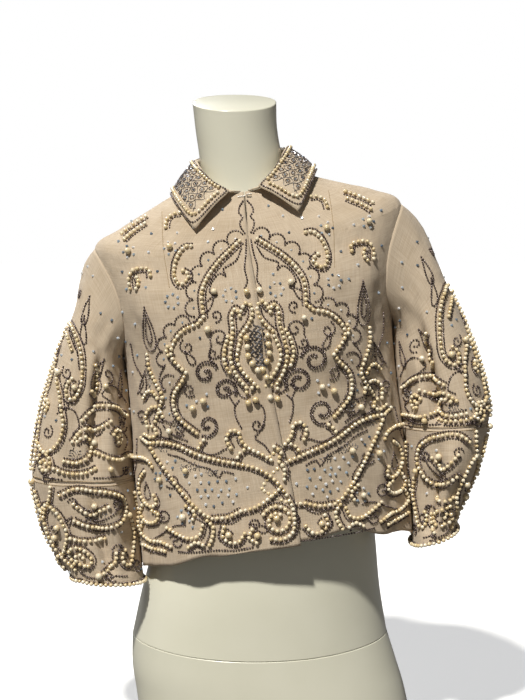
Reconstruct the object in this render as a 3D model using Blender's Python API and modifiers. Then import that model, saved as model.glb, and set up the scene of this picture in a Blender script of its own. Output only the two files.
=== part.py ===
"""A short beaded jacket with bell sleeves, standing on a limbless dress form.

Lengths are in millimetres while points are worked out, and in metres in every mesh.
The jacket is drawn upright around its neck point, with X to the viewer's right, Y to the back
and Z up, and then leans the way it hangs on the form.
"""
import math

import bmesh
import bpy
import numpy as np
from mathutils import Vector
from mathutils.bvhtree import BVHTree

MM = 0.001

# where the jacket's front neck point stands
NECK_X = -21.33
NECK_Y = 9.51
NECK_Z = 720.0

# how the jacket leans: the shoulder line, and the line from the neck to the hem
SHOULDER_TILT = math.radians(7.0)
BODY_LEAN = math.radians(5.3)

CLOTH = 1.8
SEAM_GAP = 0.3
SQUARENESS = 2.2

# The jacket's body, a ring of cloth for each row, measured from the front neck point.
# The last column raises the shoulder on the wearer's left, which the form holds higher.
BODY_COLUMNS = ("half_width", "front_z", "side_z", "back_z", "front_y", "back_y", "left_rise")
BODY_ROWS = (
    (62.0, 0.0, 25.0, 38.0, -62.0, 50.0, 0.0),
    (97.0, -14.0, 8.0, 28.0, -73.0, 63.0, 2.0),
    (133.0, -32.0, -9.0, 12.0, -84.0, 76.0, 6.0),
    (170.0, -53.0, -27.0, -6.0, -95.0, 87.0, 11.0),
    (204.0, -78.0, -48.0, -28.0, -106.0, 96.0, 9.0),
    (197.0, -128.0, -114.0, -102.0, -121.0, 101.0, 3.0),
    (179.0, -187.0, -190.0, -186.0, -130.0, 103.0, 0.0),
    (178.0, -274.0, -285.0, -282.0, -131.0, 103.0, 0.0),
    (179.0, -361.0, -380.0, -378.0, -132.0, 107.0, 0.0),
    (181.0, -448.0, -474.0, -474.0, -135.0, 112.0, 0.0),
)
SHOULDER_ROW = 4
ARMPIT_ROW = 6
HEM_ROW = 9

# how far the armhole cuts in from the side, as an angle around the body
ARMHOLE_FRONT = 30.0
ARMHOLE_BACK = 26.0
ARMHOLE_STEPS = (0.0, 0.03, 0.1, 0.2, 0.34, 0.5, 0.66, 0.8, 0.9, 0.97, 1.0)

# The front edges: how far each runs past the middle, by its depth below the neck.
EDGE_COLUMNS = ("depth", "over_edge", "under_edge")
EDGE_ROWS = (
    (0.0, -2.6, 2.6),
    (30.0, -2.8, 2.8),
    (62.0, -0.8, 1.4),
    (125.0, 4.6, -3.0),
    (187.0, 7.2, -5.0),
    (255.0, 12.0, -8.0),
    (317.0, 18.5, -10.0),
    (374.0, 26.0, -12.0),
    (450.0, 30.5, -13.0),
)
LAP_LIFT = 3.6

# The hem: how far it rises above its lowest line, from the front edge to the side.
HEM_COLUMNS = ("share", "front_right", "front_left")
HEM_ROWS = (
    (0.0, 1.0, 4.0),
    (0.2, -2.0, 9.0),
    (0.35, 3.0, 15.0),
    (0.5, -1.0, 11.0),
    (0.65, 5.0, 9.0),
    (0.8, 2.0, 5.0),
    (1.0, 0.0, 1.0),
)

# Soft folds of the body: angle around (0 front, 90 side, 180 back), the drift of that angle
# from top to bottom, the rows where the fold starts and ends, its half width, and its height.
FOLD_COLUMNS = ("side", "angle", "drift", "top", "bottom", "spread", "height")
FOLD_ROWS = (
    (-1, 44.0, -6.0, 4.3, 7.4, 7.0, 4.5),
    (1, 47.0, -4.0, 4.2, 7.2, 7.0, 5.0),
    (-1, 58.0, -22.0, 6.2, 9.3, 8.0, 4.5),
    (1, 60.0, -20.0, 6.4, 9.4, 8.0, 4.0),
    (-1, 30.0, 4.0, 7.2, 9.6, 7.0, 4.5),
    (1, 24.0, 6.0, 7.0, 9.6, 7.0, 5.0),
    (-1, 74.0, -4.0, 6.6, 9.6, 6.5, 5.0),
    (1, 76.0, -6.0, 6.6, 9.6, 6.5, 5.0),
    (-1, 30.0, 0.0, 4.2, 6.8, 16.0, 7.0),
    (1, 30.0, 0.0, 4.2, 6.8, 16.0, 7.0),
    (-1, 118.0, 6.0, 5.2, 9.6, 7.0, 5.0),
    (1, 120.0, 4.0, 5.0, 9.6, 7.0, 5.0),
    (-1, 146.0, 4.0, 6.4, 9.6, 8.0, 4.5),
    (1, 150.0, 0.0, 6.2, 9.6, 8.0, 5.0),
    (1, 176.0, 0.0, 6.8, 9.6, 8.0, 4.0),
)

# The sleeves below the armhole, one row for each section, measured from the neck point
# with the garment hanging: the outer point, the point next to the body, front and back.
SLEEVE_COLUMNS = ("outer_z", "outer_x", "inner_z", "inner_x", "front_y", "back_y")
SLEEVES = {
    "right": (
        (-168.0, -230.0, -236.0, -160.0, -62.0, 50.0),
        (-215.0, -248.0, -262.0, -157.2, -70.0, 54.0),
        (-275.0, -267.0, -300.0, -153.3, -78.0, 58.0),
        (-328.0, -278.0, -338.0, -149.9, -84.0, 60.0),
        (-371.0, -281.0, -374.0, -147.0, -88.0, 60.0),
        (-412.0, -275.0, -410.0, -144.0, -89.0, 52.0),
        (-450.0, -261.0, -448.0, -141.0, -88.0, 36.0),
        (-482.0, -241.0, -485.0, -138.0, -86.0, 14.0),
        (-501.0, -225.0, -508.0, -133.0, -86.0, 0.0),
    ),
    "left": (
        (-118.0, 266.0, -192.0, 200.2, -62.0, 52.0),
        (-173.0, 291.0, -228.0, 202.2, -72.0, 56.0),
        (-222.0, 309.0, -262.0, 205.6, -80.0, 60.0),
        (-268.0, 321.0, -287.0, 208.3, -86.0, 62.0),
        (-298.0, 321.0, -304.0, 210.2, -90.0, 64.0),
        (-348.0, 310.0, -350.0, 215.0, -94.0, 60.0),
        (-394.0, 290.0, -398.0, 220.0, -92.0, 48.0),
        (-424.0, 275.0, -437.0, 222.0, -88.0, 30.0),
        (-437.0, 278.0, -460.0, 220.0, -86.0, 16.0),
    ),
}
ELBOW_ROW = 4
CAP_RINGS = 8
# the way the top of each sleeve leaves the shoulder: sideways, and up
CAP_START = {"right": (0.6, -0.8), "left": (0.8, -0.6)}
# folds of each sleeve: angle (0 outer, 90 front, 180 next to the body), its drift, the rows
# where it starts and ends (from -1 at the armhole), its half width, and its height
SLEEVE_FOLD_COLUMNS = ("angle", "drift", "top", "bottom", "spread", "height")
SLEEVE_FOLDS = {
    "right": (
        (86.0, 10.0, 0.2, 7.4, 15.0, -9.0),
        (128.0, 0.0, 0.4, 7.8, 17.0, 6.0),
        (48.0, 8.0, 3.6, 8.4, 15.0, -5.0),
        (268.0, -10.0, 0.4, 7.0, 16.0, -8.0),
        (232.0, 0.0, 1.4, 8.2, 16.0, 5.0),
        (310.0, 0.0, 3.8, 8.4, 15.0, -5.0),
    ),
    "left": (
        (112.0, -14.0, -0.6, 4.6, 15.0, -10.0),
        (76.0, 4.0, 0.2, 6.8, 16.0, 5.0),
        (120.0, -6.0, 3.6, 8.4, 15.0, -6.0),
        (262.0, -8.0, 0.0, 7.0, 16.0, -8.0),
        (228.0, 0.0, 1.0, 8.2, 16.0, 5.0),
        (312.0, 0.0, 3.8, 8.4, 15.0, -5.0),
    ),
}

# The collar: its seam on the neck, its fold, and its outer edge, each a ring around the neck,
# with the angle at which it starts in front.
COLLAR_COLUMNS = ("half_width", "front_z", "side_z", "back_z", "front_y", "back_y", "start")
COLLAR_SEAM = (62.0, 1.7, 26.3, 39.0, -62.0, 50.0, 3.4)
COLLAR_FOLD = (61.0, -1.0, 50.0, 60.0, -77.0, 60.0, 16.5)
COLLAR_EDGE = (97.0, -76.0, 14.5, 19.0, -118.0, 83.0, 41.0)
COLLAR_ROLL = 3.8
COLLAR_DROP = 0.05

# The dress form: a ring for each row, its middle line and its tilt.
FORM_COLUMNS = ("half_width", "front_z", "side_z", "back_z", "front_y", "back_y", "middle", "tilt")
FORM_TORSO = (
    (55.0, 102.6, 119.0, 133.6, -56.0, 44.0, -13.6, 0.0),
    (53.5, 70.0, 84.0, 95.0, -55.0, 43.0, -11.0, 2.5),
    (54.0, 32.0, 48.0, 60.0, -54.5, 44.0, -5.5, 5.5),
    (58.5, -3.0, 20.5, 34.0, -57.0, 46.0, -1.8, 7.0),
    (93.0, -17.0, 7.0, 24.5, -66.5, 58.0, -0.5, 7.0),
    (131.0, -38.0, -10.6, 8.0, -76.0, 68.0, 1.0, 7.0),
    (161.0, -60.0, -26.0, -12.0, -85.0, 75.0, 2.4, 7.0),
    (171.0, -82.0, -50.0, -36.0, -92.0, 80.0, 4.8, 7.0),
    (167.0, -112.0, -92.0, -80.0, -101.0, 85.0, 9.0, 7.0),
    (156.0, -146.0, -140.0, -136.0, -112.0, 89.0, 13.4, 7.0),
    (150.0, -192.0, -192.0, -192.0, -120.0, 90.0, 18.4, 7.0),
    (145.0, -250.0, -250.0, -250.0, -111.0, 86.0, 24.0, 7.0),
    (140.0, -330.0, -330.0, -330.0, -98.0, 81.0, 29.0, 6.0),
    (143.0, -420.0, -420.0, -420.0, -97.0, 85.0, 28.0, 4.0),
    (151.0, -475.0, -475.0, -475.0, -102.0, 92.0, 24.5, 2.5),
    (160.0, -530.0, -528.0, -524.0, -108.0, 101.0, 20.5, 1.5),
    (170.5, -597.0, -584.0, -574.0, -112.0, 110.0, 19.5, 0.5),
)
FORM_HIPS = (
    (170.7, -597.4, -584.4, -574.4, -112.0, 110.0, 19.5, 0.5),
    (177.5, -632.0, -626.0, -620.0, -114.0, 117.0, 26.0, 0.2),
    (180.5, -664.0, -662.0, -660.0, -115.0, 122.0, 34.0, 0.0),
    (183.0, -720.0, -720.0, -720.0, -116.0, 124.0, 44.0, 0.0),
)
FORM_SQUARENESS = 2.15
FORM_SEGMENTS = 40

# The strands of sewn pearls. On fronts and back each is drawn flat, as distances across from
# the middle line and down from the neck; leaves, arches and scrolls all come in mirrored pairs.
STRAND_RADIUS = 2.5
STRAND_CLEARANCE = 0.4
STRAND_STEP = 11.0
STRAND_COLUMNS = ("across", "down")
STRANDS = {
    "arch": ((11.0, 63.0), (24.0, 73.0), (40.0, 86.0), (55.0, 103.0), (64.0, 122.0), (64.0, 150.0)),
    "lobe": ((72.0, 158.0), (90.0, 164.0), (104.0, 178.0), (108.0, 196.0), (92.0, 216.0)),
    "bowl": ((98.0, 226.0), (109.0, 240.0), (112.0, 257.0), (106.0, 275.0), (86.0, 294.0)),
    "vase": ((19.0, 154.0), (23.0, 145.0), (29.0, 153.0), (29.0, 170.0), (33.0, 190.0),
             (35.0, 208.0), (29.0, 228.0), (19.0, 243.0)),
    "leaf_top": ((151.0, 303.0), (132.0, 303.0), (112.0, 308.0), (90.0, 320.0), (66.0, 329.0),
                 (38.0, 337.0)),
    "leaf_side": ((145.0, 315.0), (133.0, 335.0), (120.0, 355.0), (104.0, 377.0), (87.0, 396.0)),
    "leaf_foot": ((77.0, 402.0), (58.0, 402.0), (40.0, 396.0)),
    "hem_hook": ((63.0, 414.0), (66.0, 425.0), (58.0, 434.0), (46.0, 434.0), (38.0, 424.0)),
    "hem_wave": ((136.0, 412.0), (122.0, 420.0), (108.0, 425.0), (95.0, 421.0), (90.0, 409.0)),
    "side_scroll": ((140.0, 190.0), (139.0, 208.0), (131.0, 228.0), (125.0, 246.0), (138.0, 276.0)),
}
BACK_STRANDS = ("arch", "lobe", "bowl", "leaf_top", "leaf_side")
# a spiral in the corner of the front that laps over
SPIRAL_MIDDLE = (4.0, 412.0)
SPIRAL_SIZES = {"start": 19.0, "end": 8.0, "from": 150.0, "to": -300.0}
# strands of the sleeves, as an angle around and a row down, and of the collar
SLEEVE_STRANDS = {
    "upper_scroll": ((38.0, 1.2), (56.0, 1.6), (70.0, 2.2), (68.0, 2.8), (52.0, 3.1), (36.0, 2.9)),
    "upper_wave": ((84.0, 2.7), (96.0, 2.3), (110.0, 2.3), (124.0, 2.0)),
    "outer_wave": ((348.0, 0.6), (356.0, 1.5), (346.0, 2.4), (356.0, 3.3)),
    "lower_scroll": ((30.0, 5.3), (44.0, 4.8), (64.0, 5.0), (68.0, 5.8), (50.0, 6.4), (32.0, 6.6)),
    "lower_wave": ((84.0, 4.7), (100.0, 5.1), (120.0, 4.8)),
    "back_scroll": ((300.0, 5.4), (284.0, 4.9), (264.0, 5.2), (262.0, 6.0), (282.0, 6.3)),
}
COLLAR_STRAND = ((0.955, 4.4), (0.96, 5.2), (0.96, 6.0), (0.94, 6.5), (0.86, 6.55), (0.7, 6.5),
                 (0.5, 6.5), (0.3, 6.5), (0.12, 6.5))

# the hook and eye at the neck: wire, and how high they lie
WIRE_RADIUS = 0.5
WIRE_DEPTH = 6.0

COLOURS = {
    "cloth": ((0.69, 0.59, 0.46), 0.85, 0.0),
    "pearl": ((0.83, 0.72, 0.50), 0.25, 0.0),
    "form": ((0.59, 0.56, 0.43), 0.25, 0.0),
    "steel": ((0.45, 0.45, 0.46), 0.35, 0.9),
}


def smooth(rows, at):
    """Every column of a table at a place between its rows, through the rows without kinks."""
    values = np.asarray(rows, float)
    last = len(values) - 1
    at = min(max(at, 0.0), float(last))
    start = min(int(at), last - 1)
    t = at - start
    before = values[max(start - 1, 0)]
    low = values[start]
    high = values[start + 1]
    after = values[min(start + 2, last)]
    enter = (high - before) * (0.5 if start > 0 else 1.0)
    leave = (after - low) * (0.5 if start + 2 <= last else 1.0)
    return (
        low * (2 * t**3 - 3 * t**2 + 1)
        + enter * (t**3 - 2 * t**2 + t)
        + high * (3 * t**2 - 2 * t**3)
        + leave * (t**3 - t**2)
    )


def between(table, place, column):
    """One column of a table read at a place of its first column, on straight lines."""
    places = [row[0] for row in table]
    values = [row[column] for row in table]
    return float(np.interp(place, places, values))


def step(value, start, end):
    """Zero before the start, one after the end, soft in between."""
    t = min(max((value - start) / (end - start), 0.0), 1.0)
    return t * t * (3.0 - 2.0 * t)


def unit(vector):
    return vector / max(float(np.linalg.norm(vector)), 1e-9)


def ring_point(sizes, angle, squareness, rise=False):
    """A point of a garment ring: angle 0 in front, 90 at the side, 180 at the back."""
    half, front_z, side_z, back_z, front_y, back_y = sizes[:6]
    if rise and angle > 0.0:
        side_z = side_z + sizes[6]
    sine = math.sin(math.radians(angle))
    cosine = math.cos(math.radians(angle))
    end_z = front_z if cosine >= 0.0 else back_z
    end_y = front_y if cosine >= 0.0 else back_y
    power = 2.0 / squareness
    x = half * math.copysign(abs(sine) ** power, sine)
    y = end_y * abs(cosine) ** power
    z = end_z + (side_z - end_z) * sine * sine
    return np.array((x, y, z))


def plain_body(angle, row):
    return ring_point(smooth(BODY_ROWS, row), angle, SQUARENESS, rise=True)


def outward(surface, first, second, reach_first, reach_second):
    """The direction that a surface faces, from two short steps along it."""
    along = surface(first + reach_first, second) - surface(first - reach_first, second)
    down = surface(first, second + reach_second) - surface(first, second - reach_second)
    return unit(np.cross(along, down))


def fold_height(angle, row):
    """How far the body's folds lift the cloth here."""
    total = 0.0
    for side, centre, drift, top, bottom, spread, height in FOLD_ROWS:
        if row <= top or row >= bottom:
            continue
        share = (row - top) / (bottom - top)
        turned = angle * side - (centre + drift * share)
        fade = step(share, 0.0, 0.35) * (1.0 - step(share, 0.8, 1.0) * (bottom < HEM_ROW))
        total += height * fade * math.exp(-((turned / spread) ** 2))
    return total


def body_point(angle, row):
    """The outer face of the jacket's body. Angles are below zero on the wearer's right."""
    point = plain_body(angle, row)
    height = fold_height(angle, row)
    if height:
        point = point - outward(plain_body, angle, row, 0.5, 0.02) * height
    return point


def lean(point):
    """From the upright drawing to the way the jacket hangs."""
    x, y, z = point
    return np.array(
        (
            x * math.cos(SHOULDER_TILT) - z * math.sin(BODY_LEAN),
            y,
            x * math.sin(SHOULDER_TILT) + z * math.cos(BODY_LEAN),
        )
    )


def armhole_cut(row, depth):
    """The angle that the armhole takes out of a panel at this row."""
    share = (row - SHOULDER_ROW) / (ARMPIT_ROW - SHOULDER_ROW)
    if share <= 0.0 or share >= 1.0:
        return 0.0
    return depth * math.sqrt(4.0 * share * (1.0 - share))


def body_rows():
    """The rows of points down a panel: close together where the armhole turns."""
    rows = [0.0, 0.5, 1.0, 1.6, 2.3, 3.0, 3.5]
    rows += [SHOULDER_ROW + 2.0 * share for share in ARMHOLE_STEPS]
    rows += [6.35, 6.7, 7.05, 7.4, 7.75, 8.1, 8.45, 8.75, 9.0]
    return rows


def edge_angle(row, side):
    """The angle of a front's free edge. The front on the wearer's right laps over."""
    sizes = smooth(BODY_ROWS, row)
    column = 1 if side < 0 else 2
    x = between(EDGE_ROWS, -sizes[1], column)
    share = min(abs(x) / sizes[0], 1.0)
    return math.copysign(math.degrees(math.asin(share ** (SQUARENESS / 2.0))), x)


def front_point(side, angle, row):
    """The outer face of a front: the one on the wearer's right lifts where it laps over."""
    point = body_point(angle, row)
    if side < 0:
        lift = step(point[0], -48.0, -8.0) * step(-point[2], 50.0, 95.0)
        point[1] -= LAP_LIFT * lift
    return point


def front_grid(side):
    """Outer points of one front, from the free edge to the side, a list for each row."""
    columns = 13
    grid = []
    for row in body_rows():
        start = edge_angle(row, side)
        cut = side * armhole_cut(row, ARMHOLE_FRONT)
        line = []
        for column in range(columns):
            share = column / (columns - 1)
            angle = start + (side * 90.0 - start) * share - cut * share**3
            place = row
            if row > ARMPIT_ROW:
                rise = between(HEM_ROWS, share, 1 if side < 0 else 2) / 95.0
                place = ARMPIT_ROW + (row - ARMPIT_ROW) * (1.0 - rise / (HEM_ROW - ARMPIT_ROW))
            line.append(front_point(side, angle, place))
        grid.append(line)
    return pull_side(grid, -1)


def back_grid():
    """Outer points of the back, from the wearer's left side to the right."""
    columns = 25
    grid = []
    for row in body_rows():
        cut = armhole_cut(row, ARMHOLE_BACK)
        line = []
        for column in range(columns):
            share = 2.0 * column / (columns - 1) - 1.0
            turned = 180.0 + 90.0 * share - cut * share**3
            angle = turned if turned <= 180.0 else turned - 360.0
            line.append(body_point(angle, row))
        grid.append(line)
    return pull_side(pull_side(grid, -1), 0)


def pull_side(grid, column):
    """Draws a side edge back by half the seam's gap."""
    inner = -2 if column == -1 else 1
    for line in grid:
        line[column] = line[column] + unit(line[inner] - line[column]) * (SEAM_GAP * 0.6)
    return grid


def posed(grid):
    return [[lean(point) for point in line] for line in grid]


def to_world(point):
    return Vector(((point[0] + NECK_X) * MM, (point[1] + NECK_Y) * MM, (point[2] + NECK_Z) * MM))


def material(name):
    made = bpy.data.materials.get(name)
    if made:
        return made
    colour, roughness, metallic = COLOURS[name]
    made = bpy.data.materials.new(name)
    made.use_nodes = True
    shader = made.node_tree.nodes["Principled BSDF"]
    shader.inputs["Base Color"].default_value = (*colour, 1.0)
    shader.inputs["Roughness"].default_value = roughness
    shader.inputs["Metallic"].default_value = metallic
    return made


def new_object(name, mesh, collection, colour):
    made = bpy.data.objects.new(name, mesh)
    mesh.materials.append(material(colour).copy())
    mesh.materials[0].name = name
    collection.objects.link(made)
    return made


def sheet_mesh(name, grid, closed=False):
    """A grid of points as an open surface. A closed one is joined along its first column."""
    rows = len(grid)
    columns = len(grid[0])
    shape = bmesh.new()
    bmesh.ops.create_grid(shape, x_segments=columns - 1, y_segments=rows - 1, size=1.0)
    shape.verts.ensure_lookup_table()
    for index, vertex in enumerate(shape.verts):
        vertex.co = to_world(grid[index // columns][index % columns])
    if closed:
        bmesh.ops.remove_doubles(shape, verts=shape.verts, dist=0.00002)
    mesh = bpy.data.meshes.new(name)
    shape.to_mesh(mesh)
    shape.free()
    return mesh


def cloth(name, grid, collection, closed=False, flip=False):
    """A cloth wall: its outer face as a sheet, thickened inward."""
    if flip:
        grid = [list(reversed(line)) for line in grid]
    mesh = sheet_mesh(name, grid, closed)
    mesh.shade_smooth()
    made = new_object(name, mesh, collection, "cloth")
    wall = made.modifiers.new("wall", "SOLIDIFY")
    wall.thickness = CLOTH * MM
    wall.offset = -1.0
    wall.use_even_offset = True
    return made


def armhole_loop(side, front, back):
    """The points of one armhole, from the shoulder down the front and up the back."""
    rows = body_rows()
    places = [i for i, row in enumerate(rows) if SHOULDER_ROW <= row <= ARMPIT_ROW]
    back_column = 0 if side > 0 else -1
    back_inner = 1 if side > 0 else -2
    points = [front[place][-1] for place in places]
    points += [back[place][back_column] for place in reversed(places[1:-1])]
    inside = [front[place][-2] for place in places]
    inside += [back[place][back_inner] for place in reversed(places[1:-1])]
    middle = sum(points) / len(points)
    loop = []
    for index, point in enumerate(points):
        along = points[(index + 1) % len(points)] - points[index - 1]
        if index in (0, len(places) - 1):
            face = np.array((side * 0.45, 0.0, 0.9)) if index == 0 else np.array((side * 1.0, 0.0, 0.0))
        else:
            face = unit(np.cross(along, point - inside[index]))
        away = unit(np.cross(face, along))
        if float(np.dot(away, middle - point)) < 0.0:
            away = -away
        loop.append((point, away))
    return loop


def sleeve_section(rows, angle, row):
    """A point of a hanging sleeve: angle 0 outer, 90 front, 180 next to the body."""
    outer_z, outer_x, inner_z, inner_x, front_y, back_y = smooth(rows, row)
    cosine = math.cos(math.radians(angle))
    sine = math.sin(math.radians(angle))
    power = 2.0 / SQUARENESS
    across = math.copysign(abs(cosine) ** power, cosine)
    deep = math.copysign(abs(sine) ** power, sine)
    x = (outer_x + inner_x) / 2.0 + (outer_x - inner_x) / 2.0 * across
    z = (outer_z + inner_z) / 2.0 + (outer_z - inner_z) / 2.0 * across
    y = (front_y + back_y) / 2.0 + (front_y - back_y) / 2.0 * deep
    return np.array((x, y, z))


def sleeve_fold(folds, angle, row):
    total = 0.0
    for centre, drift, top, bottom, spread, height in folds:
        if row <= top or row >= bottom:
            continue
        share = (row - top) / (bottom - top)
        turned = (angle - centre - drift * share + 180.0) % 360.0 - 180.0
        fade = step(share, 0.0, 0.3) * (1.0 - step(share, 0.7, 1.0))
        total += height * fade * math.exp(-((turned / spread) ** 2))
    return total


def sleeve_rings(which, loop):
    """Rings of a sleeve: from the armhole through the cap, then down to the cuff."""
    rows = SLEEVES[which]
    side = -1.0 if which == "right" else 1.0
    lengths = [0.0]
    points = [point for point, _ in loop]
    for here, there in zip(points, points[1:] + points[:1]):
        lengths.append(lengths[-1] + float(np.linalg.norm(there - here)))
    half = len(ARMHOLE_STEPS) - 1
    angles = []
    for index in range(len(points)):
        if index <= half:
            angles.append(180.0 * lengths[index] / lengths[half])
        else:
            share = (lengths[index] - lengths[half]) / (lengths[-1] - lengths[half])
            angles.append(180.0 + 180.0 * share)

    def hanging(angle, row):
        point = sleeve_section(rows, angle, row)
        height = sleeve_fold(SLEEVE_FOLDS[which], angle, row)
        if height:
            def plain(turn, place):
                return sleeve_section(rows, turn, place)
            away = outward(plain, angle, row, 1.0, 0.03)
            middle = (sleeve_section(rows, 0.0, row) + sleeve_section(rows, 180.0, row)) / 2.0
            if float(np.dot(away, point - middle)) < 0.0:
                away = -away
            point = point + away * height
        return point

    rings = []
    start = []
    for (edge, along), angle in zip(loop, angles):
        start.append(edge + along * (SEAM_GAP + 0.25))
    rings.append(start)
    free = [hanging(angle, 0.0) for angle in angles]
    for ring in range(1, CAP_RINGS + 1):
        t = ring / (CAP_RINGS + 1)
        line = []
        for index, angle in enumerate(angles):
            low = math.sin(math.radians(angle / 2.0)) ** 2
            along = loop[index][1]
            top = CAP_START[which]
            away = np.array((side * (top[0] - 0.3 * low), 0.0, top[1] - 0.2 * low))
            leave = unit(along * (0.6 - 0.4 * low) + away)
            arrive = unit(hanging(angle, 0.25) - free[index])
            gap = float(np.linalg.norm(free[index] - start[index]))
            first = start[index] + leave * gap * 0.38
            second = free[index] - arrive * gap * 0.38
            line.append(
                start[index] * (1 - t) ** 3
                + first * 3 * t * (1 - t) ** 2
                + second * 3 * t * t * (1 - t)
                + free[index] * t**3
            )
        rings.append(line)
    return rings, angles, hanging


def sleeve_grids(which, loop):
    rings, angles, hanging = sleeve_rings(which, loop)
    for row in (0.0, 0.55, 1.1, 1.65, 2.2, 2.75, 3.3, 3.7, 4.0):
        rings.append([hanging(angle, row) for angle in angles])
    lower = []
    for row in (4.0, 4.4, 5.0, 5.5, 6.0, 6.5, 7.0, 7.5, 8.0):
        ring = [hanging(angle, row) for angle in angles]
        if row == 4.0:
            ring = [point - np.array((0.0, 0.0, SEAM_GAP + 0.05)) for point in ring]
        lower.append(ring)
    upper = [ring + ring[:1] for ring in rings]
    lower = [ring + ring[:1] for ring in lower]
    return upper, lower, hanging


def collar_point(share, across):
    """The collar: share runs from the right front end to the left, across from seam to edge."""
    turn = abs(share) * 1.0
    side = -1.0 if share < 0.0 else 1.0
    places = []
    for sizes in (COLLAR_SEAM, COLLAR_FOLD, COLLAR_EDGE):
        start = sizes[6]
        angle = 180.0 - (180.0 - start) * turn
        point = ring_point(sizes, angle, SQUARENESS)
        places.append(point)
    seam, fold, edge = places
    flat = unit(np.array((fold[0], fold[1], 0.0)))
    top = fold + np.array((0.0, 0.0, COLLAR_ROLL * 0.7))
    inner = fold - flat * COLLAR_ROLL * 0.8
    outer = fold + flat * COLLAR_ROLL
    belly = 3.0 * flat + np.array((0.0, 0.0, 1.0))
    line = (
        seam,
        seam + (inner - seam) * 0.5,
        inner - np.array((0.0, 0.0, 0.6)),
        top,
        outer - np.array((0.0, 0.0, 0.8)),
        outer + (edge - outer) * 0.33 + belly,
        outer + (edge - outer) * 0.66 + belly,
        edge,
    )
    point = smooth(line, across)
    x = point[0] * side
    free = step(across, 0.0, 3.0) * step(abs(share), 0.3, 0.8)
    return np.array((x, point[1], point[2] + COLLAR_DROP * x * free))


def collar_grid():
    columns = 33
    grid = []
    for row in (0.0, 1.0, 2.0, 2.5, 3.0, 3.5, 4.0, 5.0, 6.0, 7.0):
        line = []
        for column in range(columns):
            share = -1.0 + 2.0 * column / (columns - 1)
            line.append(collar_point(math.copysign(abs(share) ** 0.85, share), row))
        grid.append(line)
    return grid


def form_ring(sizes):
    middle, tilt = sizes[6], math.radians(sizes[7])
    ring = []
    for segment in range(FORM_SEGMENTS):
        angle = 360.0 * segment / FORM_SEGMENTS
        if angle > 180.0:
            angle -= 360.0
        x, y, z = ring_point(sizes, angle, FORM_SQUARENESS)
        ring.append(np.array((middle + x * math.cos(tilt), y, z + x * math.sin(tilt))))
    return ring


def form_piece(name, rows, collection, halves=1, flat_top=False):
    """One piece of the dress form: its rings joined, and closed at both ends."""
    rings = []
    count = (len(rows) - 1) * halves
    for index in range(count + 1):
        rings.append(form_ring(smooth(rows, index / halves)))
    if flat_top:
        ring = rings[0]
        low = min(point[1] for point in ring)
        high = max(point[1] for point in ring)
        front = rows[0][1]
        back = rows[0][3]
        tilt = math.tan(math.radians(rows[0][7]))
        middle = rows[0][6]
        for point in ring:
            point[2] = front + (back - front) * (point[1] - low) / (high - low)
            point[2] += (point[0] - middle) * tilt
    closed = [ring + ring[:1] for ring in rings]
    mesh = sheet_mesh(name, closed, closed=True)
    shape = bmesh.new()
    shape.from_mesh(mesh)
    edges = [edge for edge in shape.edges if edge.is_boundary]
    caps = bmesh.ops.holes_fill(shape, edges=edges, sides=0)["faces"]
    bmesh.ops.poke(shape, faces=caps)
    bmesh.ops.recalc_face_normals(shape, faces=shape.faces)
    shape.to_mesh(mesh)
    shape.free()
    mesh.shade_smooth()
    mesh.set_sharp_from_angle(angle=math.radians(40.0))
    return new_object(name, mesh, collection, "form")


def face_place(across, down, back=False):
    """The angle and row of the body where the cloth lies this far across and down."""
    low, high = 0.0, float(HEM_ROW)
    angle = 0.0
    for _ in range(24):
        row = (low + high) / 2.0
        half = smooth(BODY_ROWS, row)[0]
        share = min(abs(across) / half, 1.0)
        angle = math.degrees(math.asin(share ** (SQUARENESS / 2.0)))
        if back:
            angle = 180.0 - angle
        angle = math.copysign(angle, across)
        if plain_body(angle, row)[2] > -down:
            low = row
        else:
            high = row
    return angle, row


def eased(table, count=14):
    """Points of a smooth line through a short table."""
    last = len(table) - 1
    return [smooth(table, last * index / (count * last)) for index in range(count * last + 1)]


def even_points(points, spacing):
    """The same line with its points evenly spaced."""
    points = np.asarray(points)
    steps = np.linalg.norm(np.diff(points, axis=0), axis=1)
    along = np.concatenate(([0.0], np.cumsum(steps)))
    count = max(int(round(along[-1] / spacing)), 1)
    places = np.linspace(0.0, along[-1], count + 1)
    return [np.array([np.interp(place, along, points[:, axis]) for axis in range(3)])
            for place in places]


def wire(name, points, radius, collection, colour, sides=0):
    """A round cord through points, closed at both ends."""
    curve = bpy.data.curves.new(name, "CURVE")
    curve.dimensions = "3D"
    curve.bevel_depth = radius * MM
    curve.bevel_resolution = sides
    curve.use_fill_caps = True
    line = curve.splines.new("POLY")
    line.points.add(len(points) - 1)
    for place, point in zip(line.points, points):
        place.co = (*to_world(point), 1.0)
    return new_object(name, curve, collection, colour)


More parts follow.
